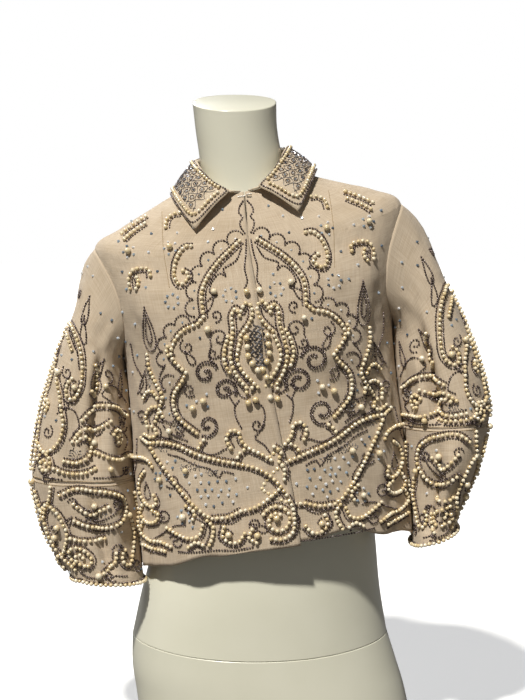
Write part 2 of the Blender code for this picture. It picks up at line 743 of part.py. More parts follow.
def strand(name, carrier, points, collection):
    """A cord of pearls laid on a wall that is already built, clear of its flat facets."""
    graph = bpy.context.evaluated_depsgraph_get()
    cloth_piece = bpy.data.objects[carrier]
    wall = BVHTree.FromObject(cloth_piece, graph)
    corners = [Vector(corner) for corner in cloth_piece.bound_box]
    inside = sum(corners, Vector()) / len(corners)
    places = [to_world(point) for point in even_points(points, STRAND_STEP)]
    hub = (sum(places, Vector()) / len(places) + inside * 2.0) / 3.0
    reach = (STRAND_RADIUS + STRAND_CLEARANCE) * MM
    laid = []
    for point in places:
        away = (point - hub).normalized()
        place, facing, _, _ = wall.ray_cast(point + away * 30.0 * MM, -away)
        laid.append([place + facing * reach, facing])
    for _ in range(4):
        for first, second in zip(laid, laid[1:]):
            for share in (0.0, 0.25, 0.5, 0.75, 1.0):
                middle = first[0].lerp(second[0], share)
                _, _, _, distance = wall.find_nearest(middle)
                short = reach - 0.1 * MM - distance
                if short > 0.0:
                    first[0] = first[0] + first[1] * short
                    second[0] = second[0] + second[1] * short
    neck = Vector((NECK_X, NECK_Y, NECK_Z))
    centres = [np.array(place / MM - neck) for place, _ in laid]
    return wire(name, centres, STRAND_RADIUS, collection, "pearl")


def spiral_table():
    sizes = SPIRAL_SIZES
    points = []
    for index in range(25):
        share = index / 24
        turn = math.radians(sizes["from"] + (sizes["to"] - sizes["from"]) * share)
        radius = sizes["start"] + (sizes["end"] - sizes["start"]) * share
        across = SPIRAL_MIDDLE[0] + radius * math.cos(turn)
        points.append((across, SPIRAL_MIDDLE[1] - radius * math.sin(turn)))
    return points


def body_strands(collection):
    for side, carrier, short in ((-1, "front_right", "r"), (1, "front_left", "l")):
        for key, table in STRANDS.items():
            flat = eased(table)
            points = [lean(front_point(side, *face_place(side * across, down)))
                      for across, down in flat]
            strand(f"strand_{key}_{short}", carrier, points, collection)
    points = [lean(front_point(-1, *face_place(across, down))) for across, down in spiral_table()]
    strand("strand_spiral_r", "front_right", points, collection)
    for side, short in ((-1, "br"), (1, "bl")):
        for key in BACK_STRANDS:
            flat = eased(STRANDS[key])
            points = [lean(body_point(*face_place(side * across, down, back=True)))
                      for across, down in flat]
            strand(f"strand_{key}_{short}", "back", points, collection)


def sleeve_strands(which, hanging, collection):
    for key, table in SLEEVE_STRANDS.items():
        level = "lower" if table[0][1] > ELBOW_ROW else "upper"
        points = [hanging(angle, row) for angle, row in eased(table)]
        strand(f"strand_{key}_{which[0]}", f"sleeve_{which}_{level}", points, collection)


def collar_strands(collection):
    for side, short in ((-1, "r"), (1, "l")):
        points = [lean(collar_point(side * share, across)) for share, across in eased(COLLAR_STRAND)]
        strand(f"strand_collar_{short}", "collar", points, collection)


def hook_and_eye(collection):
    """The wire hook on the wearer's right and its eye on the left, sewn on below the collar."""
    def lying(x, depth):
        point = body_point(*face_place(x, depth))
        return lean(point + np.array((0.0, -1.3, 0.5)))

    hook = [lying(x, WIRE_DEPTH) for x in (-9.0, -6.0, -3.0, 0.0, 1.2)]
    eye = [lying(x, depth) for x, depth in
           ((9.0, 4.2), (5.5, 4.2), (2.9, 4.6), (2.9, 7.4), (5.5, 7.8), (9.0, 7.8))]
    wire("neck_hook", hook, WIRE_RADIUS, collection, "steel", 1)
    wire("neck_eye", eye, WIRE_RADIUS, collection, "steel", 1)


def clear_scene():
    for item in list(bpy.data.objects):
        bpy.data.objects.remove(item)


def main():
    clear_scene()
    collection = bpy.data.collections.new("beaded_jacket")
    bpy.context.scene.collection.children.link(collection)

    front_right = posed(front_grid(-1))
    front_left = posed(front_grid(1))
    back = posed(back_grid())
    cloth("front_right", front_right, collection)
    cloth("front_left", front_left, collection, flip=True)
    cloth("back", back, collection, flip=True)

    hangings = {}
    for which, side, front in (("right", -1, front_right), ("left", 1, front_left)):
        loop = armhole_loop(side, front, back)
        upper, lower, hangings[which] = sleeve_grids(which, loop)
        cloth(f"sleeve_{which}_upper", upper, collection, closed=True, flip=side < 0)
        cloth(f"sleeve_{which}_lower", lower, collection, closed=True, flip=side < 0)

    cloth("collar", posed(collar_grid()), collection)
    form_piece("form_torso", FORM_TORSO, collection, flat_top=True)
    form_piece("form_hips", FORM_HIPS, collection)

    body_strands(collection)
    for which, hanging in hangings.items():
        sleeve_strands(which, hanging, collection)
    collar_strands(collection)
    hook_and_eye(collection)


main()
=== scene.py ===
# %% [markdown]
# # A beaded jacket on a dress form
#
# A short linen jacket with bell sleeves is sewn all over with imitation pearls, dark glass seed
# beads and foil-backed stones. It stands on a limbless dress form with a gloss shell.
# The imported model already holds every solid. This notebook loads it as a frame, lays finer
# cloth over its panels, and then sews the beads on one panel at a time.

import math

import bmesh
import bpy
import numpy as np
from mathutils import Matrix, Vector, noise
from mathutils.bvhtree import BVHTree


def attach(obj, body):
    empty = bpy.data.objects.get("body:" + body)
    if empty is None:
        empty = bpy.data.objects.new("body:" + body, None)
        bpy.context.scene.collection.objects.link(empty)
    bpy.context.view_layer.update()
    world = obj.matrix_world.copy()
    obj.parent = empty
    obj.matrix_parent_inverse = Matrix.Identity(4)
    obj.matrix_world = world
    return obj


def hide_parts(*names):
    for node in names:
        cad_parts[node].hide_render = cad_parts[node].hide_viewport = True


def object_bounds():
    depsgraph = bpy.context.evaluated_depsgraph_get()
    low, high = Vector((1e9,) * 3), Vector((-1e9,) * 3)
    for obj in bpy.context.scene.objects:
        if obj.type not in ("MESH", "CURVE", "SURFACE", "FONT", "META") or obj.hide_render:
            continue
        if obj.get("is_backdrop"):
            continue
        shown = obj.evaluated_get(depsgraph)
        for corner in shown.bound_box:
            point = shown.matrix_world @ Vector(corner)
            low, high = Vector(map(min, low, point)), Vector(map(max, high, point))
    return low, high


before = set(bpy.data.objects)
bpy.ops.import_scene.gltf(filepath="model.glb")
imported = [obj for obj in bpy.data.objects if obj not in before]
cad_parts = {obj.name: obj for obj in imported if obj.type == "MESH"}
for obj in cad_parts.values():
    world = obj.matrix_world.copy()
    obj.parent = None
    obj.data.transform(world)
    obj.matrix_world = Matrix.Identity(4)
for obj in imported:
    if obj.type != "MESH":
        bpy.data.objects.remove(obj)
cad_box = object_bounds()
MM = 0.001
NECK = np.array((-21.33, 9.51, 720))
print(len(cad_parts), "solids loaded")

# %% [markdown]
# ## Curves through short tables
#
# Every form here is a smooth surface through a few rows of measured sizes, in millimetres.
# A spline through the rows would do, and so would a subdivided cage, but plain functions on
# whole arrays are quick, and the same functions later say where a bead lies.

# %% Helpers for tables and directions
def smooth(rows, at):
    """Every column of a table at places between its rows, through the rows without kinks."""
    values = np.asarray(rows, float)
    last = len(values) - 1
    at = np.clip(np.asarray(at, float), 0, last)
    start = np.minimum(at.astype(int), last - 1)
    t = (at - start)[..., None]
    low, high = values[start], values[start + 1]
    before, after = values[np.maximum(start - 1, 0)], values[np.minimum(start + 2, last)]
    enter = (high - before) * np.where(start > 0, 0.5, 1)[..., None]
    leave = (after - low) * np.where(start + 2 <= last, 0.5, 1)[..., None]
    return (
        low * (2 * t**3 - 3 * t**2 + 1)
        + enter * (t**3 - 2 * t**2 + t)
        + high * (3 * t**2 - 2 * t**3)
        + leave * (t**3 - t**2)
    )


def column(table, index):
    return [row[index] for row in table]


def step(value, start, end):
    """Zero before the start, one after the end, soft in between."""
    t = np.clip((value - start) / (end - start), 0, 1)
    return t * t * (3 - 2 * t)


def unit(vectors):
    length = np.linalg.norm(vectors, axis=-1, keepdims=True)
    return vectors / np.maximum(length, 1e-9)


def rounded(value, squareness):
    """A sine or cosine bent so that its circle becomes squarer."""
    return np.sign(value) * np.abs(value) ** (2 / squareness)


def to_world(points):
    return (np.asarray(points) + NECK) * MM


# %% [markdown]
# ## The body of the jacket
#
# A jacket's body is a tube of cloth that narrows at the neck, spreads over the shoulders and
# hangs straight from the bust. Each row below is one ring of that tube. The folds are soft
# ridges and troughs laid along it: broad ones first, then the small creases that a
# stiff, heavily beaded linen keeps.

# %% Sizes of the body
# how the jacket leans: the shoulder line, and the line from the neck to the hem
SHOULDER_TILT, BODY_LEAN = math.radians(7), math.radians(5.3)
SEAM_GAP = 0.3
SQUARENESS = 2.2

# The jacket's body, a ring of cloth for each row, measured from the front neck point: half the
# width, the heights in front, at the side and at the back, the depths in front and at the back.
# The last column raises the shoulder on the wearer's left, which the form holds higher.
BODY_ROWS = (
    (62, 0, 25, 38, -62, 50, 0), (97, -14, 8, 28, -73, 63, 2), (133, -32, -9, 12, -84, 76, 6),
    (170, -53, -27, -6, -95, 87, 11), (204, -78, -48, -28, -106, 96, 9),
    (197, -128, -114, -102, -121, 101, 3), (179, -187, -190, -186, -130, 103, 0),
    (178, -274, -285, -282, -131, 103, 0), (179, -361, -380, -378, -132, 107, 0),
    (181, -448, -474, -474, -135, 112, 0),
)
SHOULDER_ROW, ARMPIT_ROW, HEM_ROW = 4, 6, 9
# how far the armhole cuts in from the side, as an angle around the body
ARMHOLE_FRONT, ARMHOLE_BACK = 30, 26
# The front edges: the depth below the neck, and how far the upper and the under one pass the
# middle there. At the neck each lies NECK_CLOSED nearer to the other than in the plain solids.
EDGE_ROWS = (
    (0, -2.6, 2.6), (30, -2.8, 2.8), (62, -0.8, 1.4), (125, 4.6, -3), (187, 7.2, -5),
    (255, 12, -8), (317, 18.5, -10), (374, 26, -12), (450, 30.5, -13),
)
NECK_CLOSED, NECK_CLOSED_DOWN = 2, (40, 85)
# the upper front lies this much in front of the other, from the side to the lap and downwards
LAP_LIFT, LAP_ACROSS, LAP_DOWN = 3.6, (-48, -8), (50, 95)
# The hem: a share of the way from the front edge to the side, and how far the right and the
# left front rise there above the lowest line. A row below the armpit is 95 mm high.
ROW_HEIGHT = 95
HEM_ROWS = (
    (0, 1, 4), (0.2, -2, 9), (0.35, 3, 15), (0.5, -1, 11), (0.65, 5, 9), (0.8, 2, 5), (1, 0, 1),
)

# Soft folds of the body: angle around (0 front, 90 side, 180 back), the drift of that angle
# from top to bottom, the rows where the fold starts and ends, its half width, and its height.
FOLD_ROWS = (
    (-1, 44, -6, 4.3, 7.4, 7, 4.5), (1, 47, -4, 4.2, 7.2, 7, 5), (-1, 58, -22, 6.2, 9.3, 8, 4.5),
    (1, 60, -20, 6.4, 9.4, 8, 4), (-1, 30, 4, 7.2, 9.6, 7, 4.5), (1, 24, 6, 7, 9.6, 7, 5),
    (-1, 74, -4, 6.6, 9.6, 6.5, 5), (1, 76, -6, 6.6, 9.6, 6.5, 5), (-1, 30, 0, 4.2, 6.8, 16, 7),
    (1, 30, 0, 4.2, 6.8, 16, 7), (-1, 118, 6, 5.2, 9.6, 7, 5), (1, 120, 4, 5, 9.6, 7, 5),
    (-1, 146, 4, 6.4, 9.6, 8, 4.5), (1, 150, 0, 6.2, 9.6, 8, 5), (1, 176, 0, 6.8, 9.6, 8, 4),
)
# the fine creases: the same columns as the folds
CREASE_ROWS = (
    (-1, 20, 3, 1.2, 4.6, 2.6, -1.1), (1, 22, -2, 1, 4.8, 2.8, -1.2), (-1, 38, -3, 3.6, 7, 2.2, 1),
    (1, 36, 5, 3.4, 6.6, 2.4, 1.1), (-1, 52, -12, 4.8, 8.2, 2.4, -1.3),
    (1, 54, -9, 5, 8.6, 2.6, -1.2), (-1, 14, 5, 6.4, 8.8, 2.4, 0.9), (1, 15, 8, 6.2, 8.9, 2.6, 1),
    (-1, 66, -8, 5.6, 9.4, 2.6, 1.4), (1, 67, -11, 5.8, 9.4, 2.8, 1.5),
    (-1, 82, 3, 6.8, 9.6, 2.6, -1.4), (1, 84, -4, 6.6, 9.6, 2.4, -1.2),
    (-1, 104, 8, 5.4, 9, 3, -1.3), (1, 108, 6, 5.2, 9.4, 2.8, -1.4),
    (-1, 132, 5, 4.4, 8.4, 2.6, 1.2), (1, 136, 2, 4, 8.8, 2.8, 1.3), (-1, 162, 4, 3, 7.2, 2.6, -1),
    (1, 165, -3, 2.6, 7.6, 2.4, -1.1), (-1, 27, 3, 7.4, 9.8, 4.5, 2.2),
    (-1, 42, -2, 7.6, 9.9, 4, -2), (-1, 58, 2, 7.2, 9.8, 5, 2), (1, 22, 2, 7.6, 9.8, 4, -1.8),
    (1, 37, -2, 7.3, 9.9, 4.5, 2.2), (1, 53, 3, 7.5, 9.8, 4, -2.2),
)
# the sewn darts that run down from the shoulders: angle, drift, top, bottom, half width, depth
DART_ROWS = ((-1, 33, 6, 1.6, 6.8, 0.9, -1), (1, 33, 8, 1.6, 6.8, 0.9, -1))
# the hem's own waves up and down: height in millimetres, waves on a front, and a turn for each
HEM_WAVE, HEM_WAVES, HEM_TURN = 2.6, 2.6, {-1: 0.8, 1: 2.4}
# the swellings of the cloth: their height, their size, and the size of the smaller ones
PUCKER, PUCKER_SIZE, PUCKER_SMALL = 0.8, 15, 6


# %% The surface of the body
def ring_point(sizes, angle, squareness, rise=False):
    """Points of a ring: angle 0 in front, 90 at the side, 180 at the back."""
    half, front_z, side_z, back_z, front_y, back_y = np.moveaxis(sizes[..., :6], -1, 0)
    if rise:
        side_z = side_z + np.where(angle > 0, sizes[..., 6], 0)
    sine = np.sin(np.radians(angle))
    cosine = np.cos(np.radians(angle))
    end_z = np.where(cosine >= 0, front_z, back_z)
    end_y = np.where(cosine >= 0, front_y, back_y)
    x = half * rounded(sine, squareness)
    y = end_y * np.abs(cosine) ** (2 / squareness)
    z = end_z + (side_z - end_z) * sine * sine
    return np.stack(np.broadcast_arrays(x, y, z), -1)


def plain_body(angle, row):
    return ring_point(smooth(BODY_ROWS, row), angle, SQUARENESS, rise=True)


def inward(surface, first, second, reach_first, reach_second):
    """The direction into a surface, from two short steps along it."""
    along = surface(first + reach_first, second) - surface(first - reach_first, second)
    down = surface(first, second + reach_second) - surface(first, second - reach_second)
    return unit(np.cross(along, down))


def fold_lift(share, turned, spread, height, begun, ending, ends=True):
    """How far one fold lifts the cloth. It rises and dies away along its length."""
    fade = step(share, 0, begun) * (1 - step(share, ending, 1) * ends)
    return (share > 0) * (share < 1) * height * fade * np.exp(-((turned / spread) ** 2))


def body_point(angle, row):
    """The outer face of the jacket's body. Angles are below zero on the wearer's right."""
    angle, row = np.broadcast_arrays(np.asarray(angle, float), np.asarray(row, float))
    height = np.zeros(angle.shape)
    for side, centre, drift, top, bottom, spread, high in FOLD_ROWS + CREASE_ROWS + DART_ROWS:
        share = (row - top) / (bottom - top)
        turned = angle * side - (centre + drift * share)
        height += fold_lift(share, turned, spread, high, 0.35, 0.8, bottom < HEM_ROW)
    facing = inward(plain_body, angle, row, 0.5, 0.02)
    return plain_body(angle, row) - facing * height[..., None]


def lean(points):
    """From the upright drawing to the way the jacket hangs."""
    x, y, z = np.moveaxis(np.asarray(points, float), -1, 0)
    across = x * math.cos(SHOULDER_TILT) - z * math.sin(BODY_LEAN)
    up = x * math.sin(SHOULDER_TILT) + z * math.cos(BODY_LEAN)
    return np.stack((across, y, up), -1)


def armhole_cut(row, depth):
    share = np.clip((row - SHOULDER_ROW) / (ARMPIT_ROW - SHOULDER_ROW), 0, 1)
    return depth * np.sqrt(4 * share * (1 - share))


ARMHOLE_POINTS = 42
BODY_PLACES = np.concatenate((
    np.linspace(0, SHOULDER_ROW, 40)[:-1],
    SHOULDER_ROW + 1 - np.cos(np.linspace(0, math.pi, ARMHOLE_POINTS)),
    np.linspace(ARMPIT_ROW, HEM_ROW, 56)[1:],
))


def edge_angle(row, side):
    """The angle of a front's free edge. The front on the wearer's right laps over."""
    sizes = smooth(BODY_ROWS, row)
    sought = column(EDGE_ROWS, 1 if side < 0 else 2)
    depth = -sizes[..., 1]
    x = np.interp(depth, column(EDGE_ROWS, 0), sought)
    x = x - side * NECK_CLOSED * (1 - step(depth, *NECK_CLOSED_DOWN))
    share = np.minimum(np.abs(x) / sizes[..., 0], 1)
    return np.copysign(np.degrees(np.arcsin(share ** (SQUARENESS / 2))), x)


def front_point(side, angle, row):
    point = body_point(angle, row)
    if side < 0:
        lift = step(point[..., 0], *LAP_ACROSS) * step(-point[..., 2], *LAP_DOWN)
        point[..., 1] -= LAP_LIFT * lift
    return point


def pull_side(grid, edge, inner):
    """Draws a side edge back by half the seam's gap, or by a third of a step that is narrower."""
    back = grid[:, inner] - grid[:, edge]
    reach = np.linalg.norm(back, axis=-1, keepdims=True)
    grid[:, edge] += back * np.minimum(SEAM_GAP * 0.6 / reach, 0.35)
    return grid


def front_grid(side, columns=62):
    row = BODY_PLACES[:, None]
    share = np.linspace(0, 1, columns)[None, :]
    start = edge_angle(row, side)
    cut = side * armhole_cut(row, ARMHOLE_FRONT)
    angle = start + (side * 90 - start) * share - cut * share**3
    places = np.interp(share, column(HEM_ROWS, 0), np.arange(len(HEM_ROWS)))
    wave = HEM_WAVE * np.sin(2 * math.pi * HEM_WAVES * share + HEM_TURN[side])
    wave = wave * step(share, 0.08, 0.25)
    rise = (smooth(HEM_ROWS, places)[..., 1 if side < 0 else 2] + wave) / ROW_HEIGHT
    lower = ARMPIT_ROW + (row - ARMPIT_ROW) * (1 - rise / (HEM_ROW - ARMPIT_ROW))
    place = np.where(row > ARMPIT_ROW, lower, row + 0 * share)
    return lean(pull_side(front_point(side, angle, place), -1, -2))


def back_grid(columns=121):
    row = BODY_PLACES[:, None]
    share = np.linspace(-1, 1, columns)[None, :]
    turned = 180 + 90 * share - armhole_cut(row, ARMHOLE_BACK) * share**3
    angle = np.where(turned <= 180, turned, turned - 360)
    grid = pull_side(body_point(angle, row + 0 * share), -1, -2)
    return lean(pull_side(grid, 0, 1))


grids = {"front_right": front_grid(-1), "front_left": front_grid(1), "back": back_grid()}
print("body panels:", {name: grid.shape[:2] for name, grid in grids.items()})

# %% [markdown]
# ## The sleeves
#
# A bell sleeve is a tube that is widest at the elbow and drawn in at the cuff, with a seam
# across at the elbow. Below the armhole its rings follow a table. The cap above joins the
# armhole to the first ring along smooth curves, as the eased seam of a tailored sleeve does.

# %% Sizes of the sleeves
# The sleeves below the armhole, one row for each section, measured from the neck point
# with the garment hanging: the outer point, the point next to the body, front and back.
SLEEVES = {
    "right": (
        (-168, -230, -236, -160, -62, 50), (-215, -248, -262, -157.2, -70, 54),
        (-275, -267, -300, -153.3, -78, 58), (-328, -278, -338, -149.9, -84, 60),
        (-371, -281, -374, -147, -88, 60), (-412, -275, -410, -144, -89, 52),
        (-450, -261, -448, -141, -88, 36), (-482, -241, -485, -138, -86, 14),
        (-501, -225, -508, -133, -86, 0),
    ),
    "left": (
        (-118, 266, -192, 200.2, -62, 52), (-173, 291, -228, 202.2, -72, 56),
        (-222, 309, -262, 205.6, -80, 60), (-268, 321, -287, 208.3, -86, 62),
        (-298, 321, -304, 210.2, -90, 64), (-348, 310, -350, 215, -94, 60),
        (-394, 290, -398, 220, -92, 48), (-424, 275, -437, 222, -88, 30),
        (-437, 278, -460, 220, -86, 16),
    ),
}
CAP_PLACES, SLEEVE_PLACES = 26, 46
# how far a sleeve's edge lies over the body's, so that no slit shows, and the cap's fullness
SEAM_OVER, CAP_REACH = 0.8, 0.38
# the way the top of each sleeve leaves the shoulder: sideways, and up
CAP_START = {"right": (0.6, -0.8), "left": (0.8, -0.6)}
# folds of each sleeve: angle (0 outer, 90 front, 180 next to the body), its drift, the rows
# where it starts and ends (from -1 at the armhole), its half width, and its height
SLEEVE_FOLDS = {
    "right": (
        (86, 10, 0.2, 7.4, 15, -9), (128, 0, 0.4, 7.8, 17, 6), (48, 8, 3.6, 8.4, 15, -5),
        (268, -10, 0.4, 7, 16, -8), (232, 0, 1.4, 8.2, 16, 5), (310, 0, 3.8, 8.4, 15, -5),
    ),
    "left": (
        (112, -14, -0.6, 4.6, 15, -10), (76, 4, 0.2, 6.8, 16, 5), (120, -6, 3.6, 8.4, 15, -6),
        (262, -8, 0, 7, 16, -8), (228, 0, 1, 8.2, 16, 5), (312, 0, 3.8, 8.4, 15, -5),
    ),
}
# the fine creases of both sleeves
SLEEVE_CREASES = (
    (20, 12, 0.6, 3.9, 5, -1.6), (64, -10, 0.8, 3.8, 5, -1.8), (105, 4, -0.4, 3.95, 6.5, -12),
    (92, 5, -0.2, 3.95, 6.5, 5.5), (120, 6, 0.2, 3.9, 7, 4.5), (106, 4, 4.02, 7.6, 7.5, -9),
    (90, 3, 4.05, 7.8, 7, 3), (150, -6, 0.5, 3.9, 6, -2), (200, 8, 0.8, 3.9, 5.5, 1.8),
    (250, -8, 1.2, 3.9, 5, -1.6), (292, 10, 0.7, 3.8, 5.5, 1.8), (335, -8, 1, 3.9, 5, -1.4),
    (30, -8, 4.1, 7.6, 5.5, 1.6), (72, 8, 4.2, 7.8, 5, -1.8), (140, -6, 4.1, 7.6, 6, -1.8),
    (190, 6, 4.3, 7.8, 5.5, 1.5), (288, -6, 4.2, 7.6, 5, 1.6), (340, 6, 4.1, 7.7, 5.5, -1.4),
)


# %% The surface of a sleeve
def armhole_loop(side, front, back):
    """Points round one armhole, down the front and up the back, and the way each one faces."""
    places = np.flatnonzero((BODY_PLACES >= SHOULDER_ROW) & (BODY_PLACES <= ARMPIT_ROW))
    edge, inner = (0, 1) if side > 0 else (-1, -2)
    behind = places[1:-1][::-1]
    points = np.concatenate((front[places, -1], back[behind, edge]))
    inside = np.concatenate((front[places, -2], back[behind, inner]))
    along = np.roll(points, -1, axis=0) - np.roll(points, 1, axis=0)
    face = unit(np.cross(along, points - inside))
    face[0] = (side * 0.45, 0, 0.9)
    face[len(places) - 1] = (side, 0, 0)
    away = unit(np.cross(face, along))
    turned = ((points.mean(axis=0) - points) * away).sum(axis=1) < 0
    away[turned] *= -1
    return points, away


def sleeve_section(rows, angle, row):
    outer_z, outer_x, inner_z, inner_x, front_y, back_y = np.moveaxis(smooth(rows, row), -1, 0)
    across = rounded(np.cos(np.radians(angle)), SQUARENESS)
    deep = rounded(np.sin(np.radians(angle)), SQUARENESS)
    x = (outer_x + inner_x) / 2 + (outer_x - inner_x) / 2 * across
    z = (outer_z + inner_z) / 2 + (outer_z - inner_z) / 2 * across
    y = (front_y + back_y) / 2 + (front_y - back_y) / 2 * deep
    return np.stack((x, y, z), -1)


def hanging(which, angle, row):
    """The part of a sleeve below the armhole, with its folds."""
    rows = SLEEVES[which]
    angle, row = np.broadcast_arrays(np.asarray(angle, float), np.asarray(row, float))
    height = np.zeros(angle.shape)
    for centre, drift, top, bottom, spread, high in SLEEVE_FOLDS[which] + SLEEVE_CREASES:
        share = (row - top) / (bottom - top)
        turned = (angle - centre - drift * share + 180) % 360 - 180
        height += fold_lift(share, turned, spread, high, 0.3, 0.7)
    point = sleeve_section(rows, angle, row)
    middle = (sleeve_section(rows, 0 * angle, row) + sleeve_section(rows, 180, row)) / 2
    away = inward(lambda turn, place: sleeve_section(rows, turn, place), angle, row, 1, 0.03)
    away = away * np.sign((away * (point - middle)).sum(axis=-1, keepdims=True))
    return point + away * height[..., None]


def sleeve_grid(which):
    """Rings of a whole sleeve from the armhole to the cuff, with their rows and angles."""
    side = -1 if which == "right" else 1
    points, along = armhole_loop(side, grids["front_" + which], grids["back"])
    half = ARMHOLE_POINTS - 1
    steps = np.linalg.norm(np.roll(points, -1, axis=0) - points, axis=1)
    lengths = np.concatenate(([0], np.cumsum(steps)))
    angles = np.interp(lengths[:-1], (0, lengths[half], lengths[-1]), (0, 180, 360))
    start = points + along * (SEAM_GAP - SEAM_OVER)
    free = hanging(which, angles, 0 * angles)
    low = np.sin(np.radians(angles / 2))[:, None] ** 2
    sideways, up = CAP_START[which]
    lift = np.hstack((side * (sideways - 0.3 * low), 0 * low, up - 0.2 * low))
    leave = unit(along * (0.6 - 0.4 * low) + lift)
    arrive = unit(hanging(which, angles, 0 * angles + 0.25) - free)
    gap = np.linalg.norm(free - start, axis=1)[:, None] * CAP_REACH
    first, second = start + leave * gap, free - arrive * gap
    rows = np.concatenate((np.linspace(-1, 0, CAP_PLACES)[:-1], np.linspace(0, 4, SLEEVE_PLACES)))
    grid = []
    for row in rows:
        t = row + 1
        if row < 0:
            outer = start * (1 - t) ** 3 + first * 3 * t * (1 - t) ** 2
            grid.append(outer + second * 3 * t * t * (1 - t) + free * t**3)
        else:
            grid.append(hanging(which, angles, 0 * angles + row))
    lower_rows = np.linspace(4, 8, SLEEVE_PLACES)
    lower = [hanging(which, angles, 0 * angles + row) for row in lower_rows]
    lower[0] = lower[0] - np.array((0, 0, SEAM_GAP + 0.05))
    return np.array(grid), np.array(lower), rows, lower_rows, angles


# how far each sleeve is pressed towards the body, row by row down the arm
PRESSED_ROWS = (-1, -0.7, -0.5, 0, 0.6, 1.4, 2.6, 4, 5, 6, 7, 8)
PRESSED = {
    "right": (0, 2.4, 4.1, 4, 4.2, 3.8, 3, 2.9, 2.6, 2.1, 2.1, 0.6),
    "left": (0, 4, 5.1, 5.1, 4, 2.9, 3, 3.4, 2.7, 1.8, 0.3, 0),
}
PRESSED_MIDDLE, PRESSED_ANGLE = 182, 46


def pressed(which, grid, rows, angles):
    """The inner side of a hanging sleeve lies against the body."""
    near = 1 - np.abs(angles - PRESSED_MIDDLE) / PRESSED_ANGLE
    amount = np.interp(rows, PRESSED_ROWS, PRESSED[which])[:, None] * step(near, 0, 1)
    grid[..., 0] += amount * (1 if which == "right" else -1)


# hollows in front, below the fullness of the elbow: how deep, and where they begin and end
TUCKS = {"right": (3.5, 5.2, 7.6, 96, 168), "left": (7, 5, 7.6, 52, 158)}


def tucked(which, grid, rows, angles):
    deep, top, bottom, first, last = TUCKS[which]
    down = step(rows, top, top + 0.7) * (1 - step(rows, bottom - 1.2, bottom))
    middle, wide = (first + last) / 2, (last - first) / 2
    near = np.clip(1 - np.abs(angles - middle) / wide, 0, 1)
    inward_way = unit(grid.mean(axis=1, keepdims=True) - grid) * np.array((1, 1, 0))
    grid += inward_way * (deep * down[:, None] * step(near, 0, 0.6))[..., None]


sleeves = {}
for which in ("right", "left"):
    sleeves[which] = sleeve_grid(which)
    upper, lower, rows, lower_rows, angles = sleeves[which]
    pressed(which, upper, rows, angles)
    pressed(which, lower, lower_rows, angles)
    tucked(which, lower, lower_rows, angles)
    for level, grid in zip(("upper", "lower"), sleeves[which][:2]):
        grids[f"sleeve_{which}_{level}"] = np.concatenate((grid, grid[:, :1]), axis=1)
print("sleeve rings:", len(sleeves["right"][0]), "and", len(sleeves["right"][1]))

# %% [markdown]
# ## The collar
#
# The collar is one strip. It stands up from the neck seam, rolls over, and falls flat to two
# points in front. Three rings give its seam, its roll and its outer edge, and eight places
# across it are worked out from them.

# %% Sizes and surface of the collar
# The collar: its seam on the neck, its fold, and its outer edge, each a ring around the neck
# with the first six columns of the body and the angle at which it starts in front.
COLLAR_SEAM = (62, 1.7, 26.3, 39, -62, 50, 3.4)
COLLAR_FOLD = (61, -1, 50, 60, -77, 60, 16.5)
COLLAR_EDGE = (97, -76, 14.5, 19, -118, 83, 41)
COLLAR_ROLL, COLLAR_DROP = 3.8, 0.05
UP = np.array((0, 0, 1))


def collar_point(share, across):
    """Share runs from the right front end to the left, across from the seam to the edge."""
    places = []
    for sizes in (COLLAR_SEAM, COLLAR_FOLD, COLLAR_EDGE):
        angle = 180 - (180 - sizes[6]) * abs(share)
        places.append(ring_point(np.array(sizes), angle, SQUARENESS))
    seam, fold, edge = places
    flat = unit(np.array((fold[0], fold[1], 0)))
    inner = fold - flat * COLLAR_ROLL * 0.8
    outer = fold + flat * COLLAR_ROLL
    belly = 3 * flat + UP
    line = (
        seam, seam + (inner - seam) * 0.5, inner - UP * 0.6, fold + UP * (COLLAR_ROLL * 0.7),
        outer - UP * 0.8, outer + (edge - outer) * 0.33 + belly,
        outer + (edge - outer) * 0.66 + belly, edge,
    )
    point = smooth(line, across)
    x = point[0] * (-1 if share < 0 else 1)
    free = step(across, 0, 3) * step(abs(share), 0.3, 0.8)
    return lean(np.array((x, point[1], point[2] + COLLAR_DROP * x * free)))


COLLAR_SHARES = np.linspace(-1, 1, 121)
COLLAR_PLACES = np.linspace(0, 7, 36)
grids["collar"] = np.array(
    [[collar_point(share, across) for share in COLLAR_SHARES] for across in COLLAR_PLACES]
)
print("collar:", grids["collar"].shape[:2])

# %% [markdown]
# ## The dress form
#
# The form is a hard shell in two parts that meet at the hips. It is turned from the same kind
# of rings as the body. A lathe can't make it, because no ring is round and its middle line
# bends, so the rings are joined one above the other and closed at both ends.

# %% Sizes of the form
# the first six columns of the body, then the middle line and the tilt of each ring
FORM_TORSO = (
    (55, 102.6, 119, 133.6, -56, 44, -13.6, 0), (53.5, 70, 84, 95, -55, 43, -11, 2.5),
    (54, 32, 48, 60, -54.5, 44, -5.5, 5.5), (58.5, -3, 20.5, 34, -57, 46, -1.8, 7),
    (93, -17, 7, 24.5, -66.5, 58, -0.5, 7), (131, -38, -10.6, 8, -76, 68, 1, 7),
    (161, -60, -26, -12, -85, 75, 2.4, 7), (171, -82, -50, -36, -92, 80, 4.8, 7),
    (167, -112, -92, -80, -101, 85, 9, 7), (156, -146, -140, -136, -112, 89, 13.4, 7),
    (150, -192, -192, -192, -120, 90, 18.4, 7), (145, -250, -250, -250, -111, 86, 24, 7),
    (140, -330, -330, -330, -98, 81, 29, 6), (143, -420, -420, -420, -97, 85, 28, 4),
    (151, -475, -475, -475, -102, 92, 24.5, 2.5), (160, -530, -528, -524, -108, 101, 20.5, 1.5),
    (170.5, -597, -584, -574, -112, 110, 19.5, 0.5),
)
